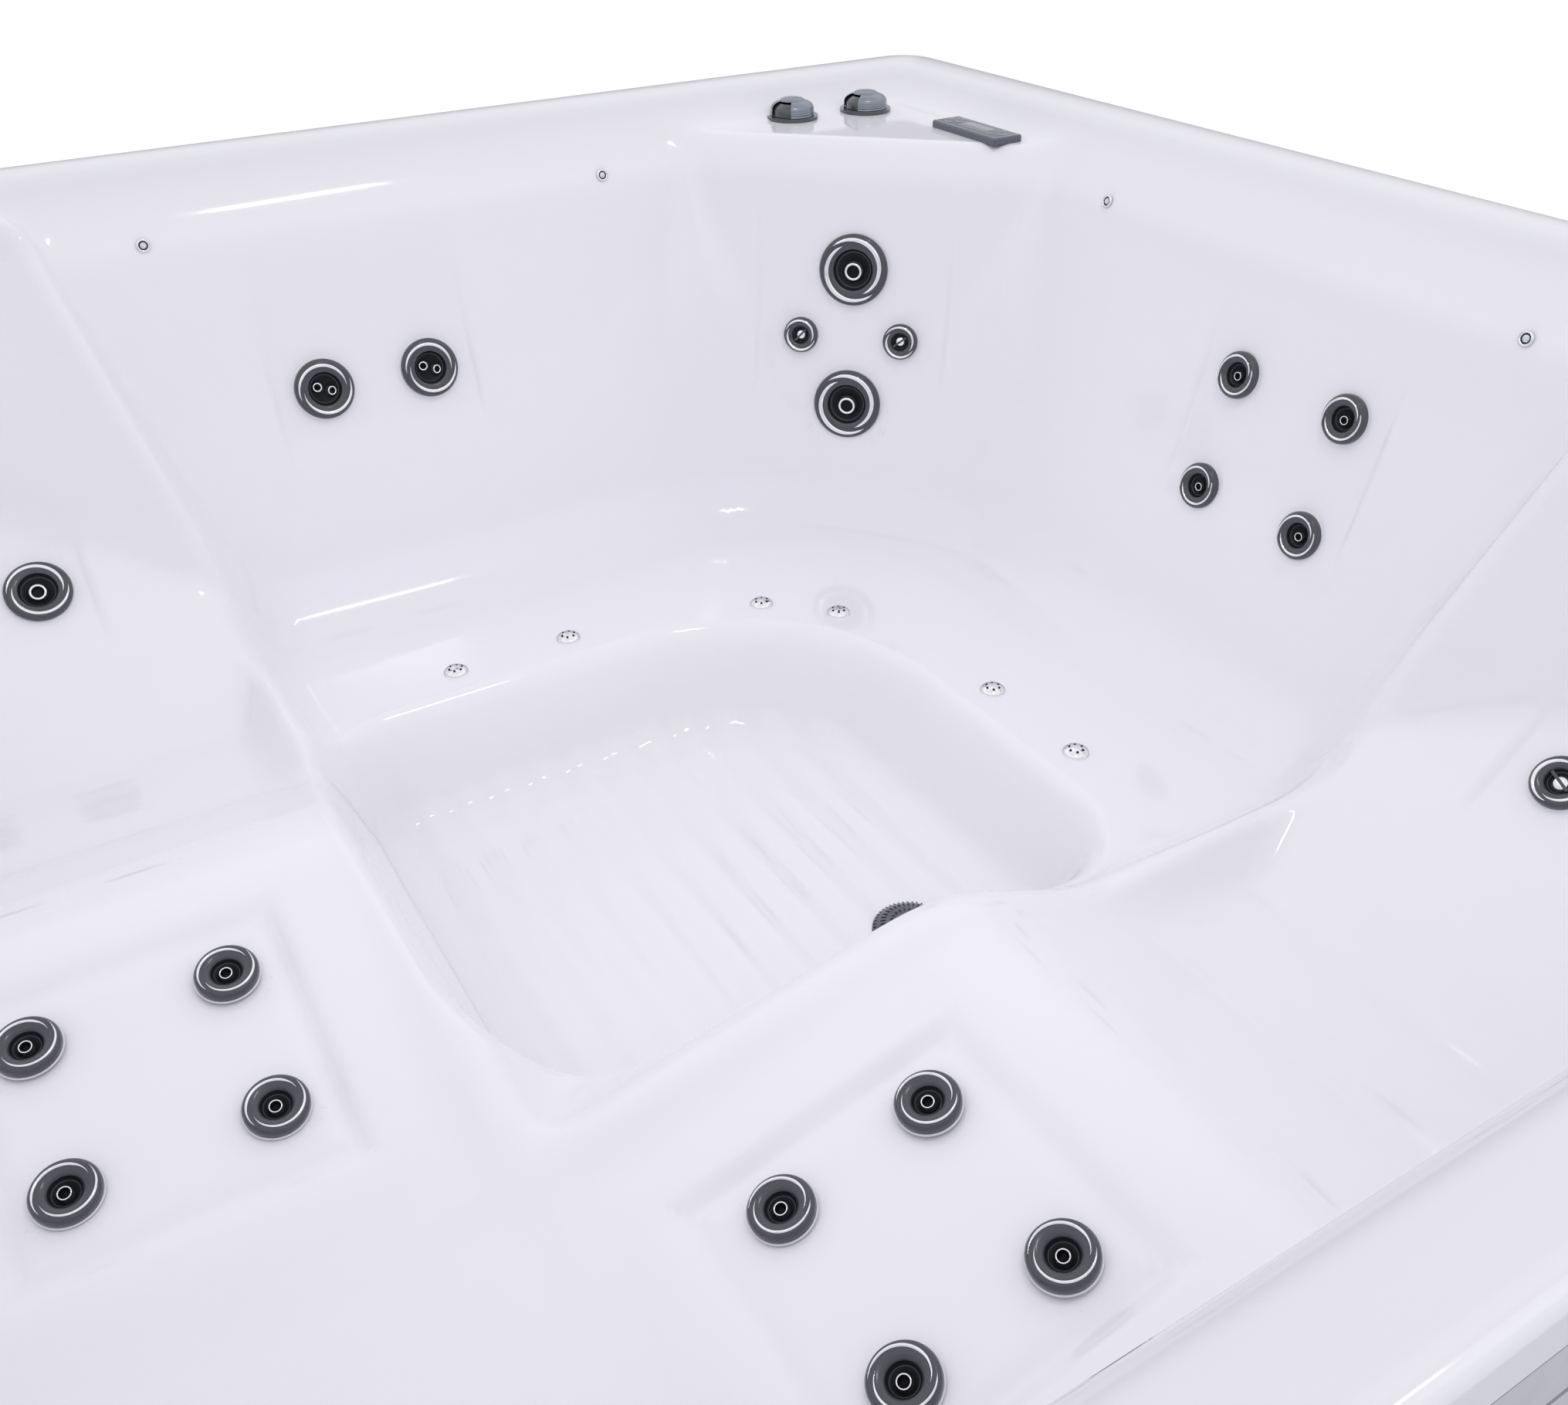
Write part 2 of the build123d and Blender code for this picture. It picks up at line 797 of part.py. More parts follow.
# Filter canister hung from the near corner deck, with its square weir throat
deck_level = level(shelf_depth)
filter_axis = Plane((*filter_place, deck_level))
weir_middle = level(weir_top_depth + weir_height / 2)
weir_floor = level(weir_top_depth + weir_height)
throat_plane = Plane(origin=(0, 0, weir_middle), x_dir=(1, -1, 0), z_dir=(-1, -1, 0)).offset(weir_front)
pin_plane = Plane(
    origin=throat_plane.from_local_coords(Vector(0, 0, weir_pin_reach)),
    x_dir=(0, 0, 1),
    z_dir=(1, -1, 0),
)
pin_drop = weir_height / 2 - weir_pin_radius - weir_gap
with BuildPart(filter_axis) as filter_canister:
    Cylinder(filter_flange_radius, filter_flange_height, align=(Align.CENTER, Align.CENTER, Align.MIN))
    Cylinder(filter_radius + filter_wall, filter_length, align=(Align.CENTER, Align.CENTER, Align.MAX))
    with Locations((0, 0, -filter_length)):
        Cylinder(filter_port_radius, filter_port_length, align=(Align.CENTER, Align.CENTER, Align.MAX))
    with BuildSketch(throat_plane):
        Rectangle(weir_width + 2 * weir_wall, weir_height + 2 * weir_wall)
    extrude(amount=filter_distance - filter_radius - weir_front + filter_wall)
    with BuildSketch(filter_axis.offset(filter_flange_height)):
        Circle(filter_radius)
    extrude(amount=-(filter_flange_height + filter_length - filter_wall), mode=Mode.SUBTRACT)
    with BuildSketch(throat_plane):
        Rectangle(weir_width, weir_height)
    extrude(amount=filter_distance - weir_front, mode=Mode.SUBTRACT)
    with BuildSketch(on(pin_plane, -pin_drop, 0, 0)):
        Circle(weir_pin_radius + shaft_running_gap)
    extrude(amount=weir_width / 2 + weir_wall / 2, both=True, mode=Mode.SUBTRACT)
keep(filter_canister, "filter_canister")

with BuildPart() as weir_flap:
    with BuildSketch(on(pin_plane, -pin_drop, 0, 0)):
        Circle(weir_pin_radius)
    extrude(amount=weir_width / 2 + weir_wall / 2 - weir_gap / 2, both=True)
    with BuildSketch(on(pin_plane, -pin_drop + weir_flap_height / 2, 0, 0)):
        Rectangle(weir_flap_height, weir_flap_thickness)
    extrude(amount=weir_width / 2 - weir_gap, both=True)
keep(weir_flap, "weir_flap")

cartridge_foot = deck_level - filter_length + filter_wall
with BuildPart(Plane((*filter_place, cartridge_foot))) as filter_cartridge:
    Cylinder(cartridge_radius, cartridge_length, align=(Align.CENTER, Align.CENTER, Align.MIN))
    for foot in (0, cartridge_length - cartridge_cap_height):
        with Locations((0, 0, foot)):
            Cylinder(cartridge_cap_radius, cartridge_cap_height, align=(Align.CENTER, Align.CENTER, Align.MIN))
    Cylinder(
        cartridge_bore_radius,
        cartridge_length,
        align=(Align.CENTER, Align.CENTER, Align.MIN),
        mode=Mode.SUBTRACT,
    )
keep(filter_cartridge, "filter_cartridge")

with BuildPart(filter_axis.offset(filter_flange_height)) as filter_lid:
    Cylinder(filter_lid_radius, filter_lid_height, align=(Align.CENTER, Align.CENTER, Align.MIN))
    with BuildSketch(filter_axis.offset(filter_flange_height + filter_lid_height)):
        with GridLocations(2 * filter_lid_grip_radius, 0, 2, 1):
            SlotOverall(filter_lid_grip_radius, filter_lid_grip_radius / 2, rotation=90)
    extrude(amount=-filter_lid_grip_depth, mode=Mode.SUBTRACT)
keep(filter_lid, "filter_lid")

# Base pan with the plinth that carries the footwell
plinth_side = bench_nose + ridge_line - plinth_margin
with BuildPart() as base_pan:
    with BuildSketch():
        RectangleRounded(side - 2 * base_inset, side - 2 * base_inset, corner_radius - base_inset)
    extrude(amount=base_thickness)
    with BuildSketch(Plane.XY.offset(base_thickness)):
        with Locations((footwell_middle, footwell_middle)):
            Rectangle(plinth_side, plinth_side)
        with Locations((suction_place[0], suction_place[1] + trench_end)):
            Rectangle(trench_width, plinth_side, align=(Align.CENTER, Align.MAX), mode=Mode.SUBTRACT)
    extrude(amount=floor_level - shell_wall - base_thickness)
keep(base_pan, "base_pan")

# Frame: foot rail, corner and middle posts, and the head rail that carries the rim
head_rail_foot = height - head_rail_drop
with BuildPart() as cabinet_frame:
    for foot, head in (
        (base_thickness, base_thickness + foot_rail_height),
        (head_rail_foot, height - rim_plate),
    ):
        with BuildSketch(Plane.XY.offset(foot)):
            Rectangle(2 * frame_half, 2 * frame_half)
            Rectangle(2 * (frame_half - rail_depth), 2 * (frame_half - rail_depth), mode=Mode.SUBTRACT)
        extrude(amount=head - foot)
    post_line = 2 * frame_half - post_width
    with BuildSketch(Plane.XY.offset(base_thickness)):
        with GridLocations(post_line, post_line, 2, 2):
            Rectangle(post_width, post_width)
        with GridLocations(2 * frame_half - post_depth, 2 * post_offset, 2, 2):
            Rectangle(post_depth, post_width)
        with GridLocations(2 * post_offset, 2 * frame_half - post_depth, 2, 2):
            Rectangle(post_width, post_depth)
    extrude(amount=head_rail_foot - base_thickness)
keep(cabinet_frame, "cabinet_frame")


# Cabinet panels, grooved like boards
panel_length = 2 * (cabinet_half - panel_end_gap)


def cabinet_panel(top_gap):
    rise = height - rim_plate - top_gap - panel_foot_gap
    pitch = rise / slat_count
    with BuildPart() as board:
        with BuildSketch(Plane.XZ.offset(frame_half)):
            with Locations((0, panel_foot_gap)):
                Rectangle(panel_length, rise, align=(Align.CENTER, Align.MIN))
        extrude(amount=panel_thickness)
        with BuildSketch(Plane.XZ.offset(cabinet_half)):
            with Locations((0, panel_foot_gap + rise / 2)):
                with GridLocations(0, pitch, 1, slat_count - 1):
                    Rectangle(panel_length, slat_groove_width)
        extrude(amount=-slat_groove_depth, mode=Mode.SUBTRACT)
    return board


with BuildPart() as side_panels:
    board = cabinet_panel(panel_top_gap).part
    for turn in (90, 180, 270):
        add(board.rotate(Axis.Z, turn))
keep(side_panels, "side_panels")

with BuildPart() as access_panel:
    add(cabinet_panel(access_top_gap).part)
    with BuildSketch(Plane.XZ.offset(cabinet_half)):
        with Locations((-handle_offset, height - handle_drop), (handle_offset, height - handle_drop)):
            RectangleRounded(handle_width, handle_height, handle_height / 3)
    extrude(amount=-handle_depth, mode=Mode.SUBTRACT)
keep(access_panel, "access_panel")

with BuildPart() as corner_trims:
    trim_half = frame_half + trim_wall
    trim_reach = 2 * (cabinet_half - trim_width)
    with BuildSketch(Plane.XY.offset(panel_foot_gap)):
        RectangleRounded(2 * trim_half, 2 * trim_half, trim_round)
        Rectangle(2 * frame_half, 2 * frame_half, mode=Mode.SUBTRACT)
        Rectangle(side, trim_reach, mode=Mode.SUBTRACT)
        Rectangle(trim_reach, side, mode=Mode.SUBTRACT)
    extrude(amount=height - rim_plate - panel_top_gap - panel_foot_gap)
keep(corner_trims, "corner_trims")

# Pump: hollow wet end, motor, and the rotor that turns in both
pump_axis_y = pump_inset - half
wet_end_start = lounge_shares[4][0] * lounge_reach - wet_end_setback
pump_axis = Plane(origin=(wet_end_start, pump_axis_y, pump_axis_z), x_dir=(0, 1, 0), z_dir=(1, 0, 0))
discharge_level = pump_axis_z + wet_end_radius - union_radius
discharge_x = wet_end_start + wet_end_length / 2
discharge_plane = Plane(origin=(discharge_x, pump_axis_y, discharge_level), x_dir=(1, 0, 0), z_dir=(0, -1, 0))
discharge_end = pump_axis_y - wet_end_radius - union_length
with BuildPart() as pump_wet_end:
    with BuildSketch(pump_axis):
        Circle(wet_end_radius)
    extrude(amount=wet_end_length)
    with BuildSketch(pump_axis.offset(wet_end_length)):
        Circle(union_radius)
    extrude(amount=union_length)
    with BuildSketch(discharge_plane):
        Circle(union_radius)
    extrude(amount=wet_end_radius + union_length)
    with Locations((discharge_x, pump_axis_y, base_thickness)):
        Box(
            wet_foot_length,
            wet_foot_width,
            pump_axis_z - base_thickness,
            align=(Align.CENTER, Align.CENTER, Align.MIN),
        )
    with BuildSketch(pump_axis.offset(wet_end_wall)):
        Circle(wet_end_radius - wet_end_wall)
    extrude(amount=wet_end_length - 2 * wet_end_wall, mode=Mode.SUBTRACT)
    with BuildSketch(pump_axis.offset(wet_end_length / 2)):
        Circle(union_bore)
    extrude(amount=wet_end_length, mode=Mode.SUBTRACT)
    with BuildSketch(discharge_plane):
        Circle(union_bore)
    extrude(amount=wet_end_radius + union_length, mode=Mode.SUBTRACT)
    with BuildSketch(pump_axis):
        Circle(shaft_radius + shaft_running_gap)
    extrude(amount=wet_end_wall, mode=Mode.SUBTRACT)
keep(pump_wet_end, "pump_wet_end")

with BuildPart() as pump_motor:
    with BuildSketch(pump_axis):
        Circle(motor_radius)
    extrude(amount=-motor_length)
    with BuildSketch(pump_axis.offset(-motor_length)):
        Circle(motor_cap_radius)
    extrude(amount=-motor_cap_length)
    with Locations((wet_end_start - motor_length / 2, pump_axis_y, base_thickness)):
        Box(
            motor_foot_length,
            motor_foot_width,
            pump_axis_z - motor_radius / 2 - base_thickness,
            align=(Align.CENTER, Align.CENTER, Align.MIN),
        )
    with BuildSketch(pump_axis):
        Circle(shaft_radius + shaft_running_gap)
    extrude(amount=-(shaft_length + impeller_gap), mode=Mode.SUBTRACT)
keep(pump_motor, "pump_motor")

with BuildPart() as pump_rotor:
    with BuildSketch(pump_axis.offset(-shaft_length)):
        Circle(shaft_radius)
    extrude(amount=shaft_length + wet_end_wall + impeller_gap)
    with BuildSketch(pump_axis.offset(wet_end_wall + impeller_gap)):
        Circle(impeller_radius)
    extrude(amount=impeller_plate)
    with BuildSketch(pump_axis.offset(wet_end_wall + impeller_gap)) as blades:
        Circle(impeller_hub_radius)
        with PolarLocations(impeller_radius / 2, vane_count):
            Rectangle(impeller_radius, vane_width)
        Circle(impeller_radius, mode=Mode.INTERSECT)
    extrude(amount=impeller_length)
keep(pump_rotor, "pump_rotor")


# Hoses, each swept along its whole route
def hose(points, radius, bend):
    with BuildPart() as tube:
        with BuildLine() as route:
            FilletPolyline(*points, radius=bend)
        start = route.wires()[0]
        with BuildSketch(Plane(origin=start @ 0, z_dir=start % 0)):
            Circle(radius)
        sweep(path=start)
    return tube.part


heater_centre = (heater_middle, heater_inset - half, heater_rise)
suction_turn_y = suction_turn_gap - ridge_line
filter_run_y = filter_run_inset - half
discharge_y = discharge_inset - half
return_right = half - return_inset
manifold_line = half - manifold_inset
manifold_start = manifold_start_inset - half
inlet_end = wet_end_start + wet_end_length + union_length
suction_run = (inlet_end + suction_run_gaps[0], -ridge_line - suction_run_gaps[1])
filter_branch_x = suction_run[0] + filter_branch_gap
filter_branch_y = (pump_axis_y + suction_run[1]) / 2
heater_right = heater_centre[0] + heater_length / 2 + heater_union_length
heater_left = heater_centre[0] - heater_length / 2 - heater_union_length
discharge_left = heater_left - discharge_lead
manifold_level = level(manifold_share * bench_depth)
filter_foot = deck_level - filter_length - filter_port_length
with BuildPart() as suction_hose:
    add(hose(
        (
            (inlet_end, pump_axis_y, pump_axis_z),
            (suction_run[0], pump_axis_y, pump_axis_z),
            (*suction_run, pump_axis_z),
            (suction_place[0], suction_turn_y, suction_port_level),
            (suction_place[0], suction_place[1] - suction_port_reach, suction_port_level),
        ),
        hose_radius,
        hose_bend,
    ))
    add(hose(
        (
            (suction_run[0], filter_branch_y, pump_axis_z),
            (filter_branch_x, filter_branch_y, pump_axis_z),
            (filter_branch_x, filter_run_y, filter_run_z),
            (filter_place[0], filter_run_y, filter_run_z),
            (*filter_place, filter_run_z + 2 * hose_bend),
            (*filter_place, filter_foot),
        ),
        branch_hose_radius,
        hose_bend,
    ))
keep(suction_hose, "suction_hose")

with BuildPart() as heater_hoses:
    add(hose(
        (
            (discharge_x, discharge_end, discharge_level),
            (discharge_x, discharge_y, discharge_level),
            (discharge_left, discharge_y, heater_centre[2]),
            (discharge_left, heater_centre[1], heater_centre[2]),
            (heater_left, heater_centre[1], heater_centre[2]),
        ),
        hose_radius,
        hose_bend,
    ))
    add(hose(
        (
            (heater_right, heater_centre[1], heater_centre[2]),
            (return_right, heater_centre[1], heater_centre[2]),
            (manifold_line, manifold_start - 2 * hose_bend - union_length, manifold_level),
            (manifold_line, manifold_start, manifold_level),
        ),
        hose_radius,
        hose_bend,
    ))
keep(heater_hoses, "heater_hoses")

# Heater tube on its saddles, with the control box standing on them
with BuildPart() as heater:
    tube_plane = Plane(origin=heater_centre, x_dir=(0, 1, 0), z_dir=(1, 0, 0))
    with BuildSketch(tube_plane):
        Circle(heater_radius)
    extrude(amount=heater_length / 2, both=True)
    for end in (heater_length / 2, -heater_length / 2 - heater_union_length):
        with BuildSketch(tube_plane.offset(end)):
            Circle(heater_union_radius)
        extrude(amount=heater_union_length)
    with BuildSketch(Plane.XY.offset(base_thickness)):
        with Locations(heater_centre[:2]):
            with GridLocations(2 * saddle_offset, 0, 2, 1):
                Rectangle(saddle_length, saddle_width)
    extrude(amount=box_foot - base_thickness)
keep(heater, "heater")

box_middle_y = box_inset - half
with BuildPart() as control_box:
    with BuildSketch(Plane.XZ.offset(-box_middle_y - box_thickness / 2)):
        with Locations((heater_centre[0], box_foot)):
            Rectangle(box_width, box_height, align=(Align.CENTER, Align.MIN))
    extrude(amount=box_thickness)
    fillet(control_box.edges().filter_by(Axis.Y), box_corner)
    with BuildSketch(Plane.XY.offset(box_foot + box_height)):
        with Locations((heater_centre[0], box_middle_y)):
            with GridLocations(gland_spacing, 0, gland_count, 1):
                Circle(gland_radius)
    extrude(amount=gland_length)
keep(control_box, "control_box")

# Water manifold clamped to the back and right posts, and the air pipe under the bubble jets
with BuildPart() as water_manifold:
    add(hose(
        (
            (manifold_line, manifold_start, manifold_level),
            (manifold_line, manifold_line, manifold_level),
            (manifold_start, manifold_line, manifold_level),
        ),
        manifold_radius,
        manifold_bend,
    ))
    clamp_reach = frame_half - post_depth - manifold_line
    with BuildSketch(Plane.XY.offset(manifold_level - manifold_radius)):
        with Locations((manifold_line, post_offset), (manifold_line, -post_offset)):
            Rectangle(clamp_reach, clamp_length, align=(Align.MIN, Align.CENTER))
        with Locations((post_offset, manifold_line), (-post_offset, manifold_line)):
            Rectangle(clamp_length, clamp_reach, align=(Align.CENTER, Align.MIN))
    extrude(amount=2 * manifold_radius)
keep(water_manifold, "water_manifold")

air_level = level(bench_depth) - injector_stem_length - pipe_radius
blower_place = (blower_inset - half, blower_reach)
port_end = blower_place[1] + blower_port_length
with BuildPart() as air_blower:
    with BuildSketch(Plane.XY.offset(base_thickness)):
        with Locations(blower_place):
            Circle(blower_radius)
    extrude(amount=blower_height)
    with BuildSketch(Plane.XY.offset(base_thickness + blower_height)):
        with Locations(blower_place):
            Circle(blower_neck_radius)
    extrude(amount=blower_neck_height)
    with BuildSketch(Plane(origin=(*blower_place, air_level), x_dir=(1, 0, 0), z_dir=(0, 1, 0))):
        Circle(pipe_radius)
    extrude(amount=blower_port_length)
keep(air_blower, "air_blower")

pipe_turn = injector_corner[0] + injector_corner[1] - injector_line
with BuildPart() as air_manifold:
    add(hose(
        (
            (blower_place[0], port_end, air_level),
            (blower_place[0], injector_line, air_level),
            (pipe_turn, injector_line, air_level),
            (injector_line, pipe_turn, air_level),
            (injector_line, air_pipe_end, air_level),
        ),
        pipe_radius,
        air_pipe_bend,
    ))
keep(air_manifold, "air_manifold")
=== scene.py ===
import bpy
import json
import numpy as np
from math import acos, cos, pi, radians, sin, tan
from mathutils import Matrix, Vector


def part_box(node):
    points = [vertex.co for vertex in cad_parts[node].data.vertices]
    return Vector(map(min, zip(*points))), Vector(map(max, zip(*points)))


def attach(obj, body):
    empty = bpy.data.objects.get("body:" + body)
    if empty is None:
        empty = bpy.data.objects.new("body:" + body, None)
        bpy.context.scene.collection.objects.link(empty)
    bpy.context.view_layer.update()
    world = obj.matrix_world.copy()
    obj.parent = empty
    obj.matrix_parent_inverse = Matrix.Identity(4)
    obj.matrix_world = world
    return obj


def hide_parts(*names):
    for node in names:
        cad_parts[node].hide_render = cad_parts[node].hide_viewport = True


# Looks of the hot tub. Metres, in the frame of the CAD model: X along the back wall, Y towards it, Z up.
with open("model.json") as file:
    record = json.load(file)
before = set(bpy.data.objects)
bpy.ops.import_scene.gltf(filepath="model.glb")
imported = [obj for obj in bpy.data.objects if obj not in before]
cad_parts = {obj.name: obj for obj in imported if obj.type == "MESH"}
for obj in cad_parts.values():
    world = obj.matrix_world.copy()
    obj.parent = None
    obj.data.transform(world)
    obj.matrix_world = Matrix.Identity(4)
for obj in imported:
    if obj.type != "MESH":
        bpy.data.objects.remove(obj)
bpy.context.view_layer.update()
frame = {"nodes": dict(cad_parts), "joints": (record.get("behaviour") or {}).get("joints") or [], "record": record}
joint_of = {joint["child"]: joint for joint in frame["joints"]}
body_of = {node: body for body, nodes in frame["record"]["behaviour"]["bodies"].items() for node in nodes}

shell_low, shell_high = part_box("shell")
RIM = shell_high.z
HALF = shell_high.x

# Rim and seat backs: distances from the tub's axis and heights below the rim
SHOULDER = 0.937
SHOULDER_DEPTH = 0.075
BACK_TILT = radians(15)
CORNER_TILT = radians(10)
CORNER = 1.033
DECK_DEPTH = 0.052
CREASE_DEPTH = 0.585
BENCH_DEPTH = 0.647
CREASE_REACH = 0.195
WALL_BLEND = 0.13
DECK_BLEND = 0.035
RIM_BLEND = 0.03
SKIRT = 0.070
SKIRT_WALL = 0.008
SKIRT_LIP = 0.004
SKIRT_CLEARANCE = 0.012
EDGE_ROUND = 0.014
CORNER_ROUND = 0.066
FLAT_RIM = 0.025
RIM_FLAT = 1.034
RIM_EDGE = 1.001
RIM_DIP = 0.007
BLEND_START = 0.95
BLEND_LEFT = 0.001
BLEND_REACH = 0.10

# Footwell
FLOOR_DEPTH = 0.800
WELL_LEFT = 0.238
WELL_NEAR = 0.193
WELL_FAR = 0.425
WELL_FAR_ROUND = 0.235
WELL_NEAR_ROUND = 0.110
WELL_SIDE_ROUND = 0.055
WELL_BLEND = 0.060
RIB_SPACING = 0.058
RIB_HEIGHT = 0.0038
RIB_FADE = (0.01, 0.07)

# Loungers
RIDGE = 0.320
RIDGE_FAN = 0.67
RIDGE_FOOT = 0.745
RIDGE_BLEND = 0.045
BEAD_RISE = 0.035
BEAD_WIDTH = 0.030
BEAD_START = (0.74, 0.82)
BEAD_END = (0.915, 0.985)
FOOT_FALL = 0.5
DECK_LINE = 1.050
LOUNGE_BLEND = 0.06


CORNER_STEPS = 12


def rounded(*corners):
    """Heights over a rising distance: straight runs between rounded corners (distance, height, radius)."""
    line = [corners[0][:2]]
    for before, (distance, height, radius), after in zip(corners, corners[1:], corners[2:]):
        corner = np.array((distance, height))
        back = np.array(before[:2]) - corner
        ahead = np.array(after[:2]) - corner
        back_length, ahead_length = np.linalg.norm(back), np.linalg.norm(ahead)
        back, ahead = back / back_length, ahead / ahead_length
        half_angle = acos(np.clip(back @ ahead, -1, 1)) / 2
        reach = min(radius / tan(half_angle), 0.49 * back_length, 0.49 * ahead_length)
        for t in np.linspace(0, 1, CORNER_STEPS + 1):
            line.append(corner + (1 - t) ** 2 * reach * back + t ** 2 * reach * ahead)
    line.append(corners[-1][:2])
    table = np.array(line, float)
    return lambda distance: np.interp(distance, table[:, 0], table[:, 1])


def smooth_max(a, b, k):
    """The larger of two heights, with a rounded change-over of width k."""
    h = np.clip(0.5 + 0.5 * (a - b) / k, 0, 1)
    return b + (a - b) * h + k * h * (1 - h)


def smooth_min(a, b, k):
    return -smooth_max(-a, -b, k)


def ease(low, high, value):
    """Rises from 0 at low to 1 at high, with soft ends."""
    t = np.clip((value - low) / (high - low), 0, 1)
    return t * t * (3 - 2 * t)


# Profiles: the seats' over the distance inward from the shoulder, and the others over a distance from the axis
WALL_DROP = CREASE_DEPTH - SHOULDER_DEPTH
seat_profile = rounded(
    (SHOULDER - 1.2, 0, 0),
    (SHOULDER - RIM_FLAT, 0, 0.12),
    (SHOULDER - RIM_EDGE, -RIM_DIP, 0.06),
    (0, -SHOULDER_DEPTH, 0.22),
    (WALL_DROP * tan(BACK_TILT), -CREASE_DEPTH, 0.26),
    (CREASE_REACH, -BENCH_DEPTH, 0.16),
    (2.5, -BENCH_DEPTH, 0),
)
DECK_SEARCH = np.linspace(SHOULDER - RIM_EDGE, 0.05, 400)
DECK_INWARD = min(DECK_SEARCH, key=lambda inward: abs(seat_profile(inward) + DECK_DEPTH))
lounge_profile = rounded(
    (-1.4, -0.700, 0),
    (-0.600, -0.700, 0.5),
    (-0.420, -0.668, 0.5),
    (0.150, -0.519, 0.22),
    (0.415, -0.648, 0.30),
    (0.581, -0.656, 0.25),
    (0.665, -0.605, 0.35),
    (0.920, -0.385, 0.25),
    (0.960, -0.200, 0.10),
    (0.984, -0.062, 0.10),
    (RIM_EDGE, -RIM_DIP, 0.045),
    (RIM_FLAT, 0, 0.12),
    (1.4, 0, 0),
)
outer_profile = rounded(
    (0.10, -3.2, 0),
    (0.860, -0.800, 0.2),
    (0.940, -0.620, 0.12),
    (0.982, -0.055, 0.06),
    (RIM_EDGE, -RIM_DIP, 0.045),
    (RIM_FLAT, 0, 0.12),
    (1.4, 0, 0),
)
deck_profile = rounded((0.20, -6.0, 0), (0.993, -0.780, 0.01), (DECK_LINE, -DECK_DEPTH, 0.018), (1.7, -DECK_DEPTH, 0))
ridge_height = rounded(
    (-1.4, -0.720, 0),
    (-0.420, -0.645, 0.5),
    (-0.200, -0.585, 0.5),
    (0.150, -0.512, 0.2),
    (0.345, -0.598, 0.2),
    (0.560, -0.600, 0.3),
    (0.735, -0.600, 0.15),
    (0.930, -0.070, 0.08),
    (RIM_EDGE, -RIM_DIP, 0.05),
    (1.4, 0, 0),
)
well_wall = rounded((-2, 0, 0), (0.010, 0, 0.065), (0.110, 0.30, 0), (2, 6.0, 0))
ridge_slope = rounded((-1.4, 1.0, 0), (0.30, 1.0, 0.1), (0.55, 1.6, 0.1), (0.85, 1.5, 0.1), (1.4, 1.3, 0))

# Jet panels pressed into the surface: middle along and up it, and half sizes along and up it
PANEL_DEPTH = 0.005
PANEL_EDGE = 0.012
CALF_EDGE = 0.026
CORNER_PANEL_SHARE = 1.5
LOUNGE_PANEL_SHARE = 1.3
CALF_PANEL_SHARE = 1.04
GROOVE_DEPTH = 0.0055
GROOVE_INSET = 0.010
GROOVE_WIDTH = 0.014
SEAT_PANEL = (-0.027, SHOULDER - 0.872, 0.152, 0.131 * sin(BACK_TILT))
CORNER_PANEL = (0, CORNER - 0.985, 0.155, 0.168 * sin(CORNER_TILT))
LOUNGE_PANEL = (-0.638, 0.850, 0.150, 0.105)
CALF_PANEL = (-0.598, -0.083, 0.155, 0.150)


def panel(along, up, place, fade_low, fade_high, edge=PANEL_EDGE):
    """How far a panel is sunk at each point: its sides and lower edge are crisp, and its upper edge runs out."""
    middle_along, middle_up, half_along, half_up = place
    across = half_along - np.abs(along - middle_along)
    rise = (up - middle_up) / half_up
    sides = ease(-edge / 2, edge / 2, across)
    ends = ease(-1.0 - fade_low, -1.0 + fade_low, rise) * (1 - ease(1.0 - fade_high, 1.0, rise))
    return PANEL_DEPTH * sides * ends


def groove(along, up, place):
    """A soft channel just inside a panel's outline."""
    middle_along, middle_up, half_along, half_up = place
    inside = np.minimum(half_along - np.abs(along - middle_along), half_up - np.abs(up - middle_up))
    return GROOVE_DEPTH * np.exp(-((inside - GROOVE_INSET) / GROOVE_WIDTH) ** 2)


def seat_surface(x, y):
    """The two benches' backs, the corner seat's back and the bench."""
    diagonal = (x + y) / np.sqrt(2)
    spread = (x - y) / np.sqrt(2)
    from_corner = (CORNER - diagonal) * tan(BACK_TILT) / tan(CORNER_TILT)
    from_corner = smooth_max(from_corner, DECK_INWARD, DECK_BLEND)
    from_corner = from_corner + CORNER_PANEL_SHARE * panel(spread, CORNER - diagonal, CORNER_PANEL, 0.4, 0.6)
    from_back = SHOULDER - y + panel(x, SHOULDER - y, SEAT_PANEL, 0.6, 0.9)
    from_side = SHOULDER - x + panel(y, SHOULDER - x, SEAT_PANEL, 0.6, 0.9)
    from_sides = smooth_min(from_back, from_side, WALL_BLEND / 4)
    blend = RIM_BLEND + (WALL_BLEND - RIM_BLEND) * ease(0, BLEND_REACH, np.minimum(from_sides, from_corner))
    return seat_profile(smooth_min(from_sides, from_corner, blend))


def blend_share(x, y):
    """How much of each blend is left: all of it inside the tub, and none on the rim."""
    return 1 + BLEND_LEFT - ease(BLEND_START, RIM_EDGE, np.maximum(np.abs(x), np.abs(y)))


def ridge_line(reach):
    """Where the ridge between a lounger and the bench lies across the tub."""
    return -RIDGE - RIDGE_FAN * np.maximum(reach - RIDGE_FOOT, 0)


def ridge_bead(across, reach):
    """A rounded bead that stands proud of the backs along the ridge, and runs out at both ends."""
    along = ease(*BEAD_START, reach) * (1 - ease(*BEAD_END, reach))
    return BEAD_RISE * along * np.exp(-((across - ridge_line(reach)) / BEAD_WIDTH) ** 2)


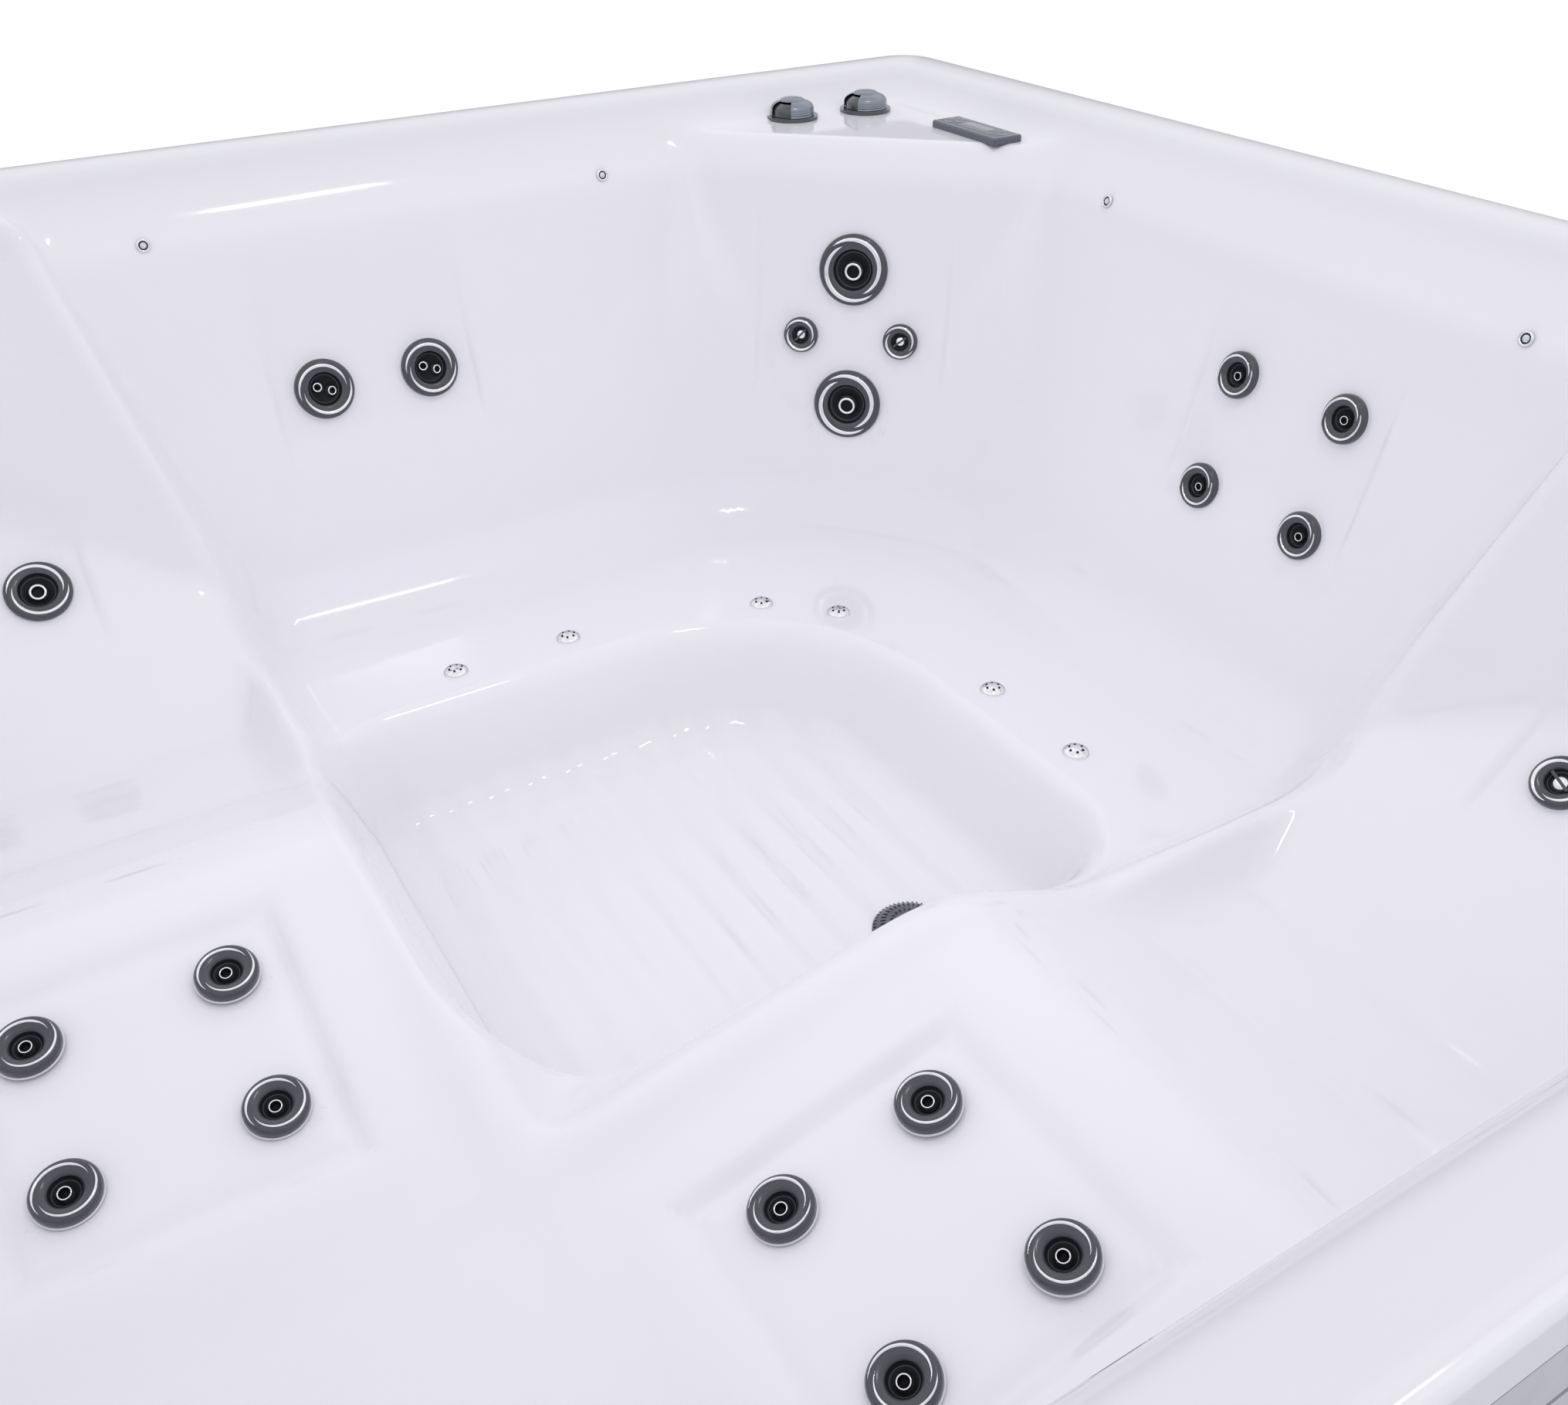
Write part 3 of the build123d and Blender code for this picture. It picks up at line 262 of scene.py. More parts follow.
def lounge_surface(across, reach):
    """One lounger: reach runs from its foot to its head, and across is the way to the bench."""
    share = blend_share(across, reach)
    foot = lounge_profile(across) - FOOT_FALL * np.maximum(reach + RIDGE, 0)
    height = smooth_max(lounge_profile(reach), foot, LOUNGE_BLEND * share)
    height = height - LOUNGE_PANEL_SHARE * panel(across, reach, LOUNGE_PANEL, 0.35, 0.5)
    calf = CALF_PANEL_SHARE * panel(across, reach, CALF_PANEL, 0.3, 0.2, CALF_EDGE)
    height = height - calf - groove(across, reach, CALF_PANEL)
    height = smooth_max(height, outer_profile(-across), LOUNGE_BLEND * share)
    height = smooth_max(height, outer_profile(-reach), LOUNGE_BLEND * share)
    height = smooth_max(height, deck_profile(-(across + reach) / np.sqrt(2)), LOUNGE_BLEND * share)
    beside = ridge_height(reach) + ridge_slope(reach) * (across - ridge_line(reach))
    return smooth_max(height, np.minimum(beside, 0), RIDGE_BLEND * share)


def well_distance(x, y):
    """Distance outside the outline of the footwell's floor."""
    px, py = x - (WELL_FAR - WELL_LEFT) / 2, y - (WELL_FAR - WELL_NEAR) / 2
    radius = np.where((px > 0) & (py > 0), WELL_FAR_ROUND, WELL_SIDE_ROUND)
    radius = np.where((px < 0) & (py < 0), WELL_NEAR_ROUND, radius)
    qx = np.abs(px) - (WELL_FAR + WELL_LEFT) / 2 + radius
    qy = np.abs(py) - (WELL_FAR + WELL_NEAR) / 2 + radius
    return np.minimum(np.maximum(qx, qy), 0) + np.hypot(np.maximum(qx, 0), np.maximum(qy, 0)) - radius


def surface(x, y):
    """Height of the moulded shell, from the rim, at each point of the plan."""
    seat = seat_surface(x, y)
    share = blend_share(x, y)
    for across, reach in ((x, y), (y, x)):
        end = ridge_height(reach) - ridge_slope(reach) * (across - ridge_line(reach))
        seat = smooth_max(seat, np.minimum(end, 0), RIDGE_BLEND * share)
    top = smooth_min(seat, lounge_surface(x, y), RIDGE_BLEND * share)
    top = smooth_min(top, lounge_surface(y, x), RIDGE_BLEND * share)
    outside = well_distance(x, y)
    wall = well_wall(outside)
    ribs = RIB_HEIGHT * (0.5 + 0.5 * np.cos(2 * pi * x / RIB_SPACING)) * (1 - ease(*RIB_FADE, wall))
    beads = ridge_bead(x, y) + ridge_bead(y, x)
    return smooth_min(top + beads, wall - FLOOR_DEPTH, WELL_BLEND) + ribs


# Grid lines of the shell: how many samples place them, and how much closer they lie at the footwell's near crest
FINE_SAMPLES = 1600
COARSE_SAMPLES = 160
EVEN_WEIGHT = 0.35
CREST_WEIGHT = 3
CREST_PLACE = 0.27
CREST_WIDTH = 0.07


def plan_lines(count):
    """Plan positions of the shell's grid lines, closer together where the surface is steep."""
    edge = HALF - FLAT_RIM
    fine = np.linspace(-edge, edge, FINE_SAMPLES)
    coarse = np.linspace(-edge, edge, COARSE_SAMPLES)
    x, y = np.meshgrid(fine, coarse, indexing="ij")
    steep = np.gradient(surface(x, y), fine, axis=0)
    weight = EVEN_WEIGHT + np.mean(np.sqrt(1 + steep ** 2), axis=1)
    weight += CREST_WEIGHT * np.exp(-((fine + CREST_PLACE) / CREST_WIDTH) ** 2)
    arc = np.concatenate(([0], np.cumsum((weight[1:] + weight[:-1]) / 2)))
    return np.interp(np.linspace(0, arc[-1], count), arc, fine)


def round_corners(x, y):
    """Moves the square's corner points onto a rounded square."""
    radius = CORNER_ROUND - FLAT_RIM
    start = HALF - FLAT_RIM - radius
    u = np.clip((np.abs(x) - start) / radius, 0, 1)
    v = np.clip((np.abs(y) - start) / radius, 0, 1)
    corner = (u > 0) & (v > 0)
    new_x = np.where(corner, np.sign(x) * (start + radius * u * np.sqrt(1 - v * v / 2)), x)
    new_y = np.where(corner, np.sign(y) * (start + radius * v * np.sqrt(1 - u * u / 2)), y)
    return new_x, new_y


def new_piece(name, vertices, faces, material, smooth=True):
    mesh = bpy.data.meshes.new(name)
    mesh.from_pydata([tuple(v) for v in vertices], [], [tuple(f) for f in faces])
    mesh.validate()
    mesh.polygons.foreach_set("use_smooth", [smooth] * len(mesh.polygons))
    mesh.materials.append(material)
    piece = bpy.data.objects.new(name, mesh)
    bpy.context.scene.collection.objects.link(piece)
    return piece


def on_body(piece, body, slot, *replaced):
    """Lets a piece ride on a body, in place of the CAD nodes that it replaces. The slot is not used."""
    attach(piece, body)
    if replaced:
        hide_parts(*replaced)
    return piece


# Materials
COAT_ROUGH = 0.04
BUMP_DISTANCE = 0.001
ROUGH_SPREAD = 0.15
PAINTED_REFLECTION_TURN = (0.45, 0.85)
RIM_PAINTED_SHADE_DEPTHS = (0.09, 0.008)


def edges_with_painted_reflection(nodes, links, colour, painted_reflection_darkening):
    """The colour, darker where the surface turns away from the view: a painted dark reflection."""
    edge = nodes.new("ShaderNodeLayerWeight")
    edge.inputs["Blend"].default_value = 0.5
    shade = nodes.new("ShaderNodeValToRGB")
    for stop, position, level in zip(shade.color_ramp.elements, PAINTED_REFLECTION_TURN, (1, 1 - painted_reflection_darkening)):
        stop.position = position
        stop.color = (level, level, level, 1)
    links.new(edge.outputs["Facing"], shade.inputs["Fac"])
    product = nodes.new("ShaderNodeMix")
    product.data_type = "RGBA"
    product.blend_type = "MULTIPLY"
    product.inputs["Factor"].default_value = 1.0
    links.new(colour, product.inputs["A"])
    links.new(shade.outputs["Color"], product.inputs["B"])
    return product.outputs["Result"]


def rim_with_painted_shade(nodes, links, colour, place, painted_rim_darkening):
    """The colour, with painted shade that darkens it a little towards the rim's top."""
    spot = nodes.new("ShaderNodeSeparateXYZ")
    links.new(place.outputs["Object"], spot.inputs[0])
    level = nodes.new("ShaderNodeMapRange")
    level.inputs["From Min"].default_value = RIM - RIM_PAINTED_SHADE_DEPTHS[0]
    level.inputs["From Max"].default_value = RIM - RIM_PAINTED_SHADE_DEPTHS[1]
    level.inputs["To Min"].default_value = 1.0
    level.inputs["To Max"].default_value = 1.0 - painted_rim_darkening
    links.new(spot.outputs["Z"], level.inputs["Value"])
    shaded = nodes.new("ShaderNodeVectorMath")
    shaded.operation = "SCALE"
    links.new(colour, shaded.inputs[0])
    links.new(level.outputs["Result"], shaded.inputs["Scale"])
    return shaded.outputs["Vector"]


def finish(name, colour, rough, metallic=0.0, coat=0.0, vary=0.04, scale=40.0,
           bump=0.0, painted_reflection_darkening=0.0, gloss=0.5, painted_rim_darkening=0.0):
    """A surface whose colour and roughness drift a little, as a real one's do, and which may carry a painted dark
    reflection at its edges or painted shade towards the rim.
    """
    material = bpy.data.materials.new(name)
    material.use_nodes = True
    nodes, links = material.node_tree.nodes, material.node_tree.links
    shader = nodes["Principled BSDF"]
    place = nodes.new("ShaderNodeTexCoord")
    noise = nodes.new("ShaderNodeTexNoise")
    noise.inputs["Scale"].default_value = scale
    noise.inputs["Detail"].default_value = 4
    links.new(place.outputs["Object"], noise.inputs["Vector"])
    ramp = nodes.new("ShaderNodeValToRGB")
    other = [channel * (1 - vary) for channel in colour]
    for stop, position, channels in zip(ramp.color_ramp.elements, (0.3, 0.7), (other, colour)):
        stop.position = position
        stop.color = (*channels, 1)
    links.new(noise.outputs["Fac"], ramp.inputs["Fac"])
    shade = ramp.outputs["Color"]
    if painted_reflection_darkening:
        shade = edges_with_painted_reflection(nodes, links, shade, painted_reflection_darkening)
    if painted_rim_darkening:
        shade = rim_with_painted_shade(nodes, links, shade, place, painted_rim_darkening)
    links.new(shade, shader.inputs["Base Color"])
    spread = nodes.new("ShaderNodeMapRange")
    spread.inputs["To Min"].default_value = rough * (1 - ROUGH_SPREAD)
    spread.inputs["To Max"].default_value = rough * (1 + ROUGH_SPREAD)
    links.new(noise.outputs["Fac"], spread.inputs["Value"])
    links.new(spread.outputs["Result"], shader.inputs["Roughness"])
    shader.inputs["Metallic"].default_value = metallic
    shader.inputs["Specular IOR Level"].default_value = gloss
    shader.inputs["Coat Weight"].default_value = coat
    shader.inputs["Coat Roughness"].default_value = COAT_ROUGH
    if bump:
        relief = nodes.new("ShaderNodeBump")
        relief.inputs["Strength"].default_value = bump
        relief.inputs["Distance"].default_value = BUMP_DISTANCE
        links.new(noise.outputs["Fac"], relief.inputs["Height"])
        links.new(relief.outputs["Normal"], shader.inputs["Normal"])
    return material


# The acrylic's colour carries painted shade: it is a little darker towards the rim's top.
ACRYLIC = finish("acrylic", (0.915, 0.907, 0.948), 0.10, coat=0.30, vary=0.010, scale=2.5, painted_rim_darkening=0.13)
SLATE = finish("jet slate", (0.060, 0.063, 0.075), 0.25, coat=0.25)
# Near-black slate for throats, bores, holes, slots and wells: partly the jets' dark slate, and partly painted shade of
# their depth.
SLATE_WITH_PAINTED_HOLE_SHADE = finish("slate with painted hole shade", (0.014, 0.015, 0.018), 0.40, gloss=0.12)
# The chrome's edges carry a painted dark reflection: darker where they turn away from the view.
CHROME = finish("chrome", (0.92, 0.92, 0.93), 0.07, metallic=1.0, vary=0.03, painted_reflection_darkening=0.75)
GASKET = finish("clear gasket", (0.80, 0.80, 0.84), 0.2, vary=0.05)
KNOB_SILVER = finish("knob silver", (0.26, 0.285, 0.33), 0.28, metallic=0.6, coat=0.3)
KNOB_DARK = finish("knob dark", (0.055, 0.058, 0.065), 0.12, coat=0.8)
FLANGE = finish("valve flange", (0.075, 0.08, 0.09), 0.2, coat=0.4)
CONTROL = finish("control grey", (0.12, 0.135, 0.155), 0.3, coat=0.2)
# The light lines round the control's face, window and keys are painted highlights.
CONTROL_PAINTED_HIGHLIGHT = finish("control painted highlight", (0.42, 0.45, 0.50), 0.25, coat=0.3)
CONTROL_SIDE = finish("control side", (0.085, 0.095, 0.125), 0.22, coat=0.5)
DISPLAY = finish("display", (0.20, 0.22, 0.235), 0.12, coat=0.5, vary=0.15)
KEY = finish("key", (0.16, 0.17, 0.19), 0.35)
SUCTION = finish("suction grey", (0.10, 0.105, 0.12), 0.25, coat=0.3)
LENS = finish("light lens", (0.72, 0.75, 0.80), 0.05, coat=1.0)
CABINET = finish("cabinet boards", (0.44, 0.44, 0.47), 0.55, vary=0.10, scale=30, bump=0.3)
BASE = finish("base plastic", (0.045, 0.045, 0.05), 0.5, vary=0.1)
FRAME_STEEL = finish("frame steel", (0.30, 0.31, 0.33), 0.45, metallic=0.4)
PUMP = finish("pump plastic", (0.035, 0.035, 0.04), 0.35)
MOTOR = finish("motor paint", (0.12, 0.13, 0.15), 0.4)
HOSE = finish("hose", (0.66, 0.67, 0.70), 0.3)
HEATER = finish("heater steel", (0.55, 0.56, 0.58), 0.25, metallic=1.0)
PIPE = finish("pipe", (0.74, 0.75, 0.77), 0.3)
MEDIA = finish("filter cloth", (0.82, 0.84, 0.87), 0.8, vary=0.06, scale=200)
LID = finish("filter lid", (0.70, 0.70, 0.76), 0.25, coat=0.2)

cad_finishes = {
    "acrylic": ACRYLIC, "base": BASE, "frame": FRAME_STEEL, "cabinet": CABINET, "pump_plastic": PUMP, "motor": MOTOR,
    "hose": HOSE, "heater_steel": HEATER, "pipe": PIPE, "filter_media": MEDIA, "shelf_plastic": LID, "flange": FLANGE,
    "knob_silver": KNOB_SILVER, "control_grey": CONTROL, "display": DISPLAY, "key_grey": KEY, "jet_slate": SLATE,
    "chrome": CHROME, "lens": LENS,
}
for part in frame["record"]["subparts"]:
    mesh = frame["nodes"][part["node"]].data
    mesh.materials.clear()
    # The jets' throats take the near-black slate, which is painted shade of their depth.
    throats_with_painted_shade = part["node"] == "jet_bodies"
    mesh.materials.append(SLATE_WITH_PAINTED_HOLE_SHADE if throats_with_painted_shade else cad_finishes[part["material_slot"]])


# Jet places, from the joints: origin, outward axis, and a direction in the face towards the photograph's right
VIEW_YAW = radians(59.324)
VIEW_RIGHT = Vector((sin(VIEW_YAW), -cos(VIEW_YAW), 0))


def face_frame(origin, axis):
    """A place whose Z is the axis and whose X lies in the face, towards the photograph's right."""
    out = Vector(axis).normalized()
    right = (VIEW_RIGHT - VIEW_RIGHT.dot(out) * out).normalized()
    return Matrix.Translation(Vector(origin)) @ Matrix((right, out.cross(right), out)).transposed().to_4x4()


jet_radius = {}
jet_frames = {}
for node in frame["nodes"]:
    if node.startswith("jet_") and node != "jet_bodies":
        joint = joint_of[body_of[node]]
        jet_frames[node] = face_frame(joint["pos_m"], joint["axis"])
        corners = np.array([v.co for v in frame["nodes"][node].data.vertices])
        jet_radius[node] = np.linalg.norm(corners - np.array(joint["pos_m"]), axis=1).max()


# The moulded shell: its grid, and its holes behind the jets (shares of the face's radius) and over the filter
GRID_LINES = 430
JET_HOLE = 0.80
FILTER_HOLE = 0.090
HOLE_MARGIN = 1.5
HOLE_REACH = 0.05
HOLE_SPLIT = 7
SLOPE_STEP = 0.0004


def raised(plan):
    """The surface's points over points of the plan."""
    return np.column_stack([plan, RIM + surface(plan[:, 0], plan[:, 1])])


def from_axis(points, origin, axis):
    """Distance of each point from a hole's axis, or far off when the point lies well before or behind the hole."""
    offset = points - origin
    height = offset @ axis
    distance = np.linalg.norm(offset - height[:, None] * axis, axis=1)
    return np.where(np.abs(height) < HOLE_REACH, distance, 1.0)


def split_quads(plan, quads):
    """Splits each quad in a fine grid of its own."""
    t = np.linspace(0, 1, HOLE_SPLIT + 1)
    u, v = np.meshgrid(t, t, indexing="ij")
    shares = np.stack([(1 - u) * (1 - v), u * (1 - v), u * v, (1 - u) * v], -1).reshape(-1, 4)
    added = np.einsum("sk,qkc->qsc", shares, plan[quads])
    index = np.arange((HOLE_SPLIT + 1) ** 2).reshape(HOLE_SPLIT + 1, HOLE_SPLIT + 1)
    cell = np.stack([index[:-1, :-1], index[1:, :-1], index[1:, 1:], index[:-1, 1:]], -1).reshape(-1, 4)
    starts = len(plan) + np.arange(len(quads)) * len(shares)
    return np.concatenate([plan, added.reshape(-1, 2)]), (starts[:, None, None] + cell).reshape(-1, 4)


def shell_holes():
    """Each hole's origin, axis and radius."""
    holes = []
    for node, place in jet_frames.items():
        holes.append((np.array(place.translation), np.array(place.col[2][:3]), jet_radius[node] * JET_HOLE))
    filter_low, filter_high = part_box("filter_cartridge")
    middle = (filter_low + filter_high) / 2
    holes.append((np.array((middle.x, middle.y, RIM - DECK_DEPTH)), np.array((0, 0, 1.0)), FILTER_HOLE))
    return holes


def surface_normals(plan):
    """The surface's exact normals, which the grid's own faces would only come near."""
    x, y = plan[:, 0], plan[:, 1]
    slope_x = (surface(x + SLOPE_STEP, y) - surface(x - SLOPE_STEP, y)) / (2 * SLOPE_STEP)
    slope_y = (surface(x, y + SLOPE_STEP) - surface(x, y - SLOPE_STEP)) / (2 * SLOPE_STEP)
    normals = np.stack([-slope_x, -slope_y, np.ones_like(slope_x)], -1)
    return normals / np.linalg.norm(normals, axis=1)[:, None]


def moulded_shell():
    """A grid over the plan, raised to the surface, with its holes cut in finer cells."""
    line = plan_lines(GRID_LINES)
    x, y = np.meshgrid(line, line, indexing="ij")
    plan = np.stack(round_corners(x, y), -1).reshape(-1, 2)
    index = np.arange(GRID_LINES ** 2).reshape(GRID_LINES, GRID_LINES)
    quads = np.stack([index[:-1, :-1], index[1:, :-1], index[1:, 1:], index[:-1, 1:]], -1).reshape(-1, 4)
    for origin, axis, radius in shell_holes():
        near = from_axis(raised(plan), origin, axis)[quads].min(axis=1) < radius * HOLE_MARGIN
        plan, fine = split_quads(plan, quads[near])
        middles = from_axis(raised(plan), origin, axis)[fine].mean(axis=1)
        quads = np.concatenate([quads[~near], fine[middles > radius]])
    shell = new_piece("moulded_shell", raised(plan), quads, ACRYLIC)
    shell.data.normals_split_custom_set_from_vertices(surface_normals(plan).tolist())
    return shell


def rounded_square(radius, start, steps):
    """Points round a square with rounded corners, each with its outward direction."""
    outline = []
    for quarter in range(4):
        middle_angle = quarter * pi / 2 + pi / 4
        middle = start * np.sign(np.array((cos(middle_angle), sin(middle_angle))))
        for t in np.linspace(0, pi / 2, steps):
            angle = quarter * pi / 2 + t
            out = np.array((cos(angle), sin(angle)))
            outline.append((middle + radius * out, out))
    return outline


def rim_skirt():
    """The outer rim and skirt: an outline with rounded corners, carried along the skirt's profile."""
    radius = CORNER_ROUND - FLAT_RIM
    outline = rounded_square(radius, HALF - FLAT_RIM - radius, 13)
    profile = [(0, None), (0.005, 0), (FLAT_RIM - EDGE_ROUND, 0)]
    for t in np.linspace(0, pi / 2, 8)[1:]:
        profile.append((FLAT_RIM - EDGE_ROUND + EDGE_ROUND * sin(t), -EDGE_ROUND + EDGE_ROUND * cos(t)))
    profile += [(FLAT_RIM, -SKIRT + SKIRT_LIP), (FLAT_RIM - SKIRT_LIP, -SKIRT)]
    profile += [(FLAT_RIM - SKIRT_WALL, -SKIRT), (FLAT_RIM - SKIRT_WALL, -SKIRT_CLEARANCE)]
    vertices = []
    for spot, out in outline:
        for offset, height in profile:
            edge = spot + out * offset
            vertices.append((*edge, RIM + (float(surface(*edge)) if height is None else height)))
    rows, columns = len(outline), len(profile)
    faces = []
    for row in range(rows):
        for column in range(columns - 1):
            a = row * columns + column
            b = (row + 1) % rows * columns + column
            faces.append((a, a + 1, b + 1, b))
    return new_piece("rim_skirt", vertices, faces, ACRYLIC)


on_body(moulded_shell(), "tub", "acrylic", "shell")
on_body(rim_skirt(), "tub", "acrylic")


# Turned pieces. A profile ends AXIS_GAP or less from the axis, so that no faces collapse there.
AXIS_GAP = 0.0002
INLAY_CROWN = 0.0009
INLAY_LIFT = 0.0002


def turned(name, profile, material, place, segments=64, start=0.0, sweep=2 * pi):
    """A piece turned from a profile of (radius, height) about the place's Z."""
    full = abs(sweep - 2 * pi) < 1e-6
    steps = segments if full else segments + 1
    vertices = []
    for step in range(steps):
        angle = start + sweep * step / segments
        for radius, height in profile:
            vertices.append(place @ Vector((radius * cos(angle), radius * sin(angle), height)))
    columns = len(profile)
    faces = []
    for step in range(segments):
        for column in range(columns - 1):
            a = step * columns + column
            b = (step + 1) % steps * columns + column
            faces.append((a, b, b + 1, a + 1))
    return new_piece(name, vertices, faces, material)


def crescent(name, place, radius, start, material, height, width, outer, inner, sweep=radians(198)):
    """A chrome inlay that winds inward from a point, widens, and ends in a point."""
    steps, across = 48, 6
    vertices, faces = [], []
    for step in range(steps + 1):
        t = step / steps
        angle = start - sweep * t
        middle = radius * (outer + (inner - outer) * t)
        half = radius * width * (max(sin(pi * t), 0) ** 0.55 * 0.5 + 0.012)
        for column in range(across + 1):
            v = column / across * 2 - 1
            spot = middle + half * v
            lift = height(spot / radius) + INLAY_CROWN * (1 - v * v) + INLAY_LIFT
            vertices.append(place @ Vector((spot * cos(angle), spot * sin(angle), lift)))
    for step in range(steps):
        for column in range(across):
            a = step * (across + 1) + column
            b = a + across + 1
            faces.append((a, b, b + 1, a + 1))
    return new_piece(name, vertices, faces, material)


def join(name, pieces):
    """Joins pieces, each with its own material, into one."""
    for piece in bpy.context.selected_objects:
        piece.select_set(False)
    for piece in pieces:
        piece.select_set(True)
    bpy.context.view_layer.objects.active = pieces[0]
    bpy.ops.object.join()
    pieces[0].name = name
    return pieces[0]


# A jet's face: heights over shares of its radius
FACE_HEIGHT = 0.0125
FACE_SHAPE = np.array(((0.50, 0.66), (0.56, 0.80), (0.66, 0.90), (0.80, 0.97), (0.88, 0.96), (0.95, 0.84), (1.0, 0.60)))


def face_height(share):
    return FACE_HEIGHT * float(np.interp(share, FACE_SHAPE[:, 0], FACE_SHAPE[:, 1]))


def nozzle(name, place, offset, tilt, radius, top, thick):
    """A tube with a chrome lip and a bore painted near-black as shade, from the throat's floor."""
    tilted = place @ Matrix.Translation(Vector(offset)) @ tilt
    wall = radius * thick
    foot, end = THROAT_FLOOR, top - wall
    tube = [(radius * 1.12, foot), (radius, foot + 0.002), (radius, end)]
    bore = [(radius - wall, end), (radius - wall, foot), (AXIS_GAP, foot)]
    lip = [(radius - wall / 2 + wall * 0.8 * cos(a), end + wall * 0.9 * sin(a))
           for a in np.linspace(-0.3, pi + 0.3, 9)]
    return [
        turned(name, tube, SLATE, tilted, 32),
        turned(name, bore, SLATE_WITH_PAINTED_HOLE_SHADE, tilted, 32),
        turned(name, lip, CHROME, tilted, 40),
    ]


# Kinds of jet: radius of the throat and width of the inlays, as shares of the face's radius
JET_LOOKS = {
    "large": (0.60, 0.120),
    "ring": (0.60, 0.100),
    "calf": (0.50, 0.090),
    "single": (0.54, 0.095),
    "twin": (0.58, 0.095),
    "bar": (0.52, 0.130),
}
# Single nozzles: radius as a share of the face's radius, height of the top, and wall as a share of the nozzle's radius
NOZZLES = {
    "large": (0.245, 0.010, 0.22),
    "ring": (0.25, 0.009, 0.22),
    "calf": (0.20, 0.009, 0.15),
    "single": (0.18, 0.007, 0.17),
}
THROAT_FLOOR = 0.0006
TWIN_LEAN = radians(16)
TWIN_SIZE = (0.150, 0.008, 0.24)
TWIN_SPOT = (0.20, -0.06)
SINGLE_LEAN = radians(7)
SINGLE_DROP = -0.03
DOME_SIZE = (0.34, 0.0078)
BAR_SIZE = (0.46, 0.055, 0.0100)
BAR_THICKNESS = 0.004

# A jet's profiles: shares of the face's radius, counted from the axis or from the step in the throat, and heights
GASKET_PROFILE = ((1.035, 0.0), (1.035, 0.0012), (0.99, 0.002))
FACE_FOOT = ((1.0, 0.001), (1.0, 0.005))
LIP_INSET, LIP_DROP = 0.02, 0.0012
THROAT_INSET, THROAT_HEIGHT = 0.05, 0.0045
STEP_INSET = 0.11
STEP_PROFILE = ((0.02, 0.0034), (0.01, 0.0040), (0.0, 0.0038), (-0.01, 0.0030))
FLOOR_PROFILE = ((-0.01, 0.0030), (-0.12, 0.0014), (-0.14, THROAT_FLOOR))
INLAY_OUTER, INLAY_INNER = 0.885, 0.72


def twin_nozzles(node, place, radius):
    share, top, thick = TWIN_SIZE
    pieces = []
    for way in (-1, 1):
        spot = (way * radius * TWIN_SPOT[0], way * radius * TWIN_SPOT[1], 0)
        pieces += nozzle(node, place, spot, Matrix.Rotation(way * TWIN_LEAN, 4, "Y"), radius * share, top, thick)
    return pieces


def bar_before_dome(node, place, radius, start):
    share, rise = DOME_SIZE
    dome = [(radius * share * sin(a), THROAT_FLOOR + rise * cos(a)) for a in np.linspace(0, pi / 2, 10)]
    bar = place @ Matrix.Rotation(start + pi / 3, 4, "Z")
    long, wide, high = radius * BAR_SIZE[0], radius * BAR_SIZE[1], BAR_SIZE[2]
    levels = (high - BAR_THICKNESS, high)
    corners = [bar @ Vector((a * long, b * wide, c)) for c in levels for a in (-1, 1) for b in (-1, 1)]
    faces = [(0, 1, 3, 2), (4, 6, 7, 5), (0, 4, 5, 1), (2, 3, 7, 6), (0, 2, 6, 4), (1, 5, 7, 3)]
    return [turned(node, dome, CHROME, place, 32), new_piece(node, corners, faces, SLATE, smooth=False)]


def inner_works(node, kind, place, radius, start):
    """What stands in the throat: one nozzle, two tilted ones, or a bar before a bright dome."""
    if kind == "twin":
        return twin_nozzles(node, place, radius)
    if kind == "bar":
        return bar_before_dome(node, place, radius, start)
    share, top, thick = NOZZLES[kind]
    lean = Matrix.Rotation(SINGLE_LEAN, 4, "X")
    return nozzle(node, place, (0, radius * SINGLE_DROP, 0), lean, radius * share, top, thick)


def scaled(profile, radius, base=0.0):
    """A profile's shares, counted from a base share, as radii."""
    return [(radius * (base + share), height) for share, height in profile]


def jet(node, kind, start):
    """A jet's face: gasket, slate ring with two chrome inlays, stepped throat whose wall and floor are near-black with
    painted shade, and what stands in it.
    """
    place, radius = jet_frames[node], jet_radius[node]
    throat, width = JET_LOOKS[kind]
    step = throat - STEP_INSET
    lip = face_height(throat)
    inner_lip = (radius * (throat - LIP_INSET), lip - LIP_DROP)
    ring = scaled(FACE_FOOT, radius)
    ring += [(radius * share, FACE_HEIGHT * rise) for share, rise in FACE_SHAPE[::-1] if share > throat]
    ring += [(radius * throat, lip), inner_lip]
    wall = [inner_lip, (radius * (throat - THROAT_INSET), THROAT_HEIGHT)] + scaled(STEP_PROFILE[:1], radius, step)
    pieces = [
        turned(node, scaled(GASKET_PROFILE, radius), GASKET, place),
        turned(node, ring, SLATE, place, 72),
        turned(node, wall, SLATE_WITH_PAINTED_HOLE_SHADE, place, 56),
        turned(node, scaled(STEP_PROFILE, radius, step), SLATE, place, 56),
        turned(node, scaled(FLOOR_PROFILE, radius, step) + [(AXIS_GAP, THROAT_FLOOR)], SLATE_WITH_PAINTED_HOLE_SHADE, place, 56),
    ]
    for half_turn in (0, pi):
        turn = start + half_turn
        pieces.append(crescent(node, place, radius, turn, CHROME, face_height, width, INLAY_OUTER, INLAY_INNER))
    pieces += inner_works(node, kind, place, radius, start)
    return on_body(join(node + "_look", pieces), body_of[node], "jet_slate", node)


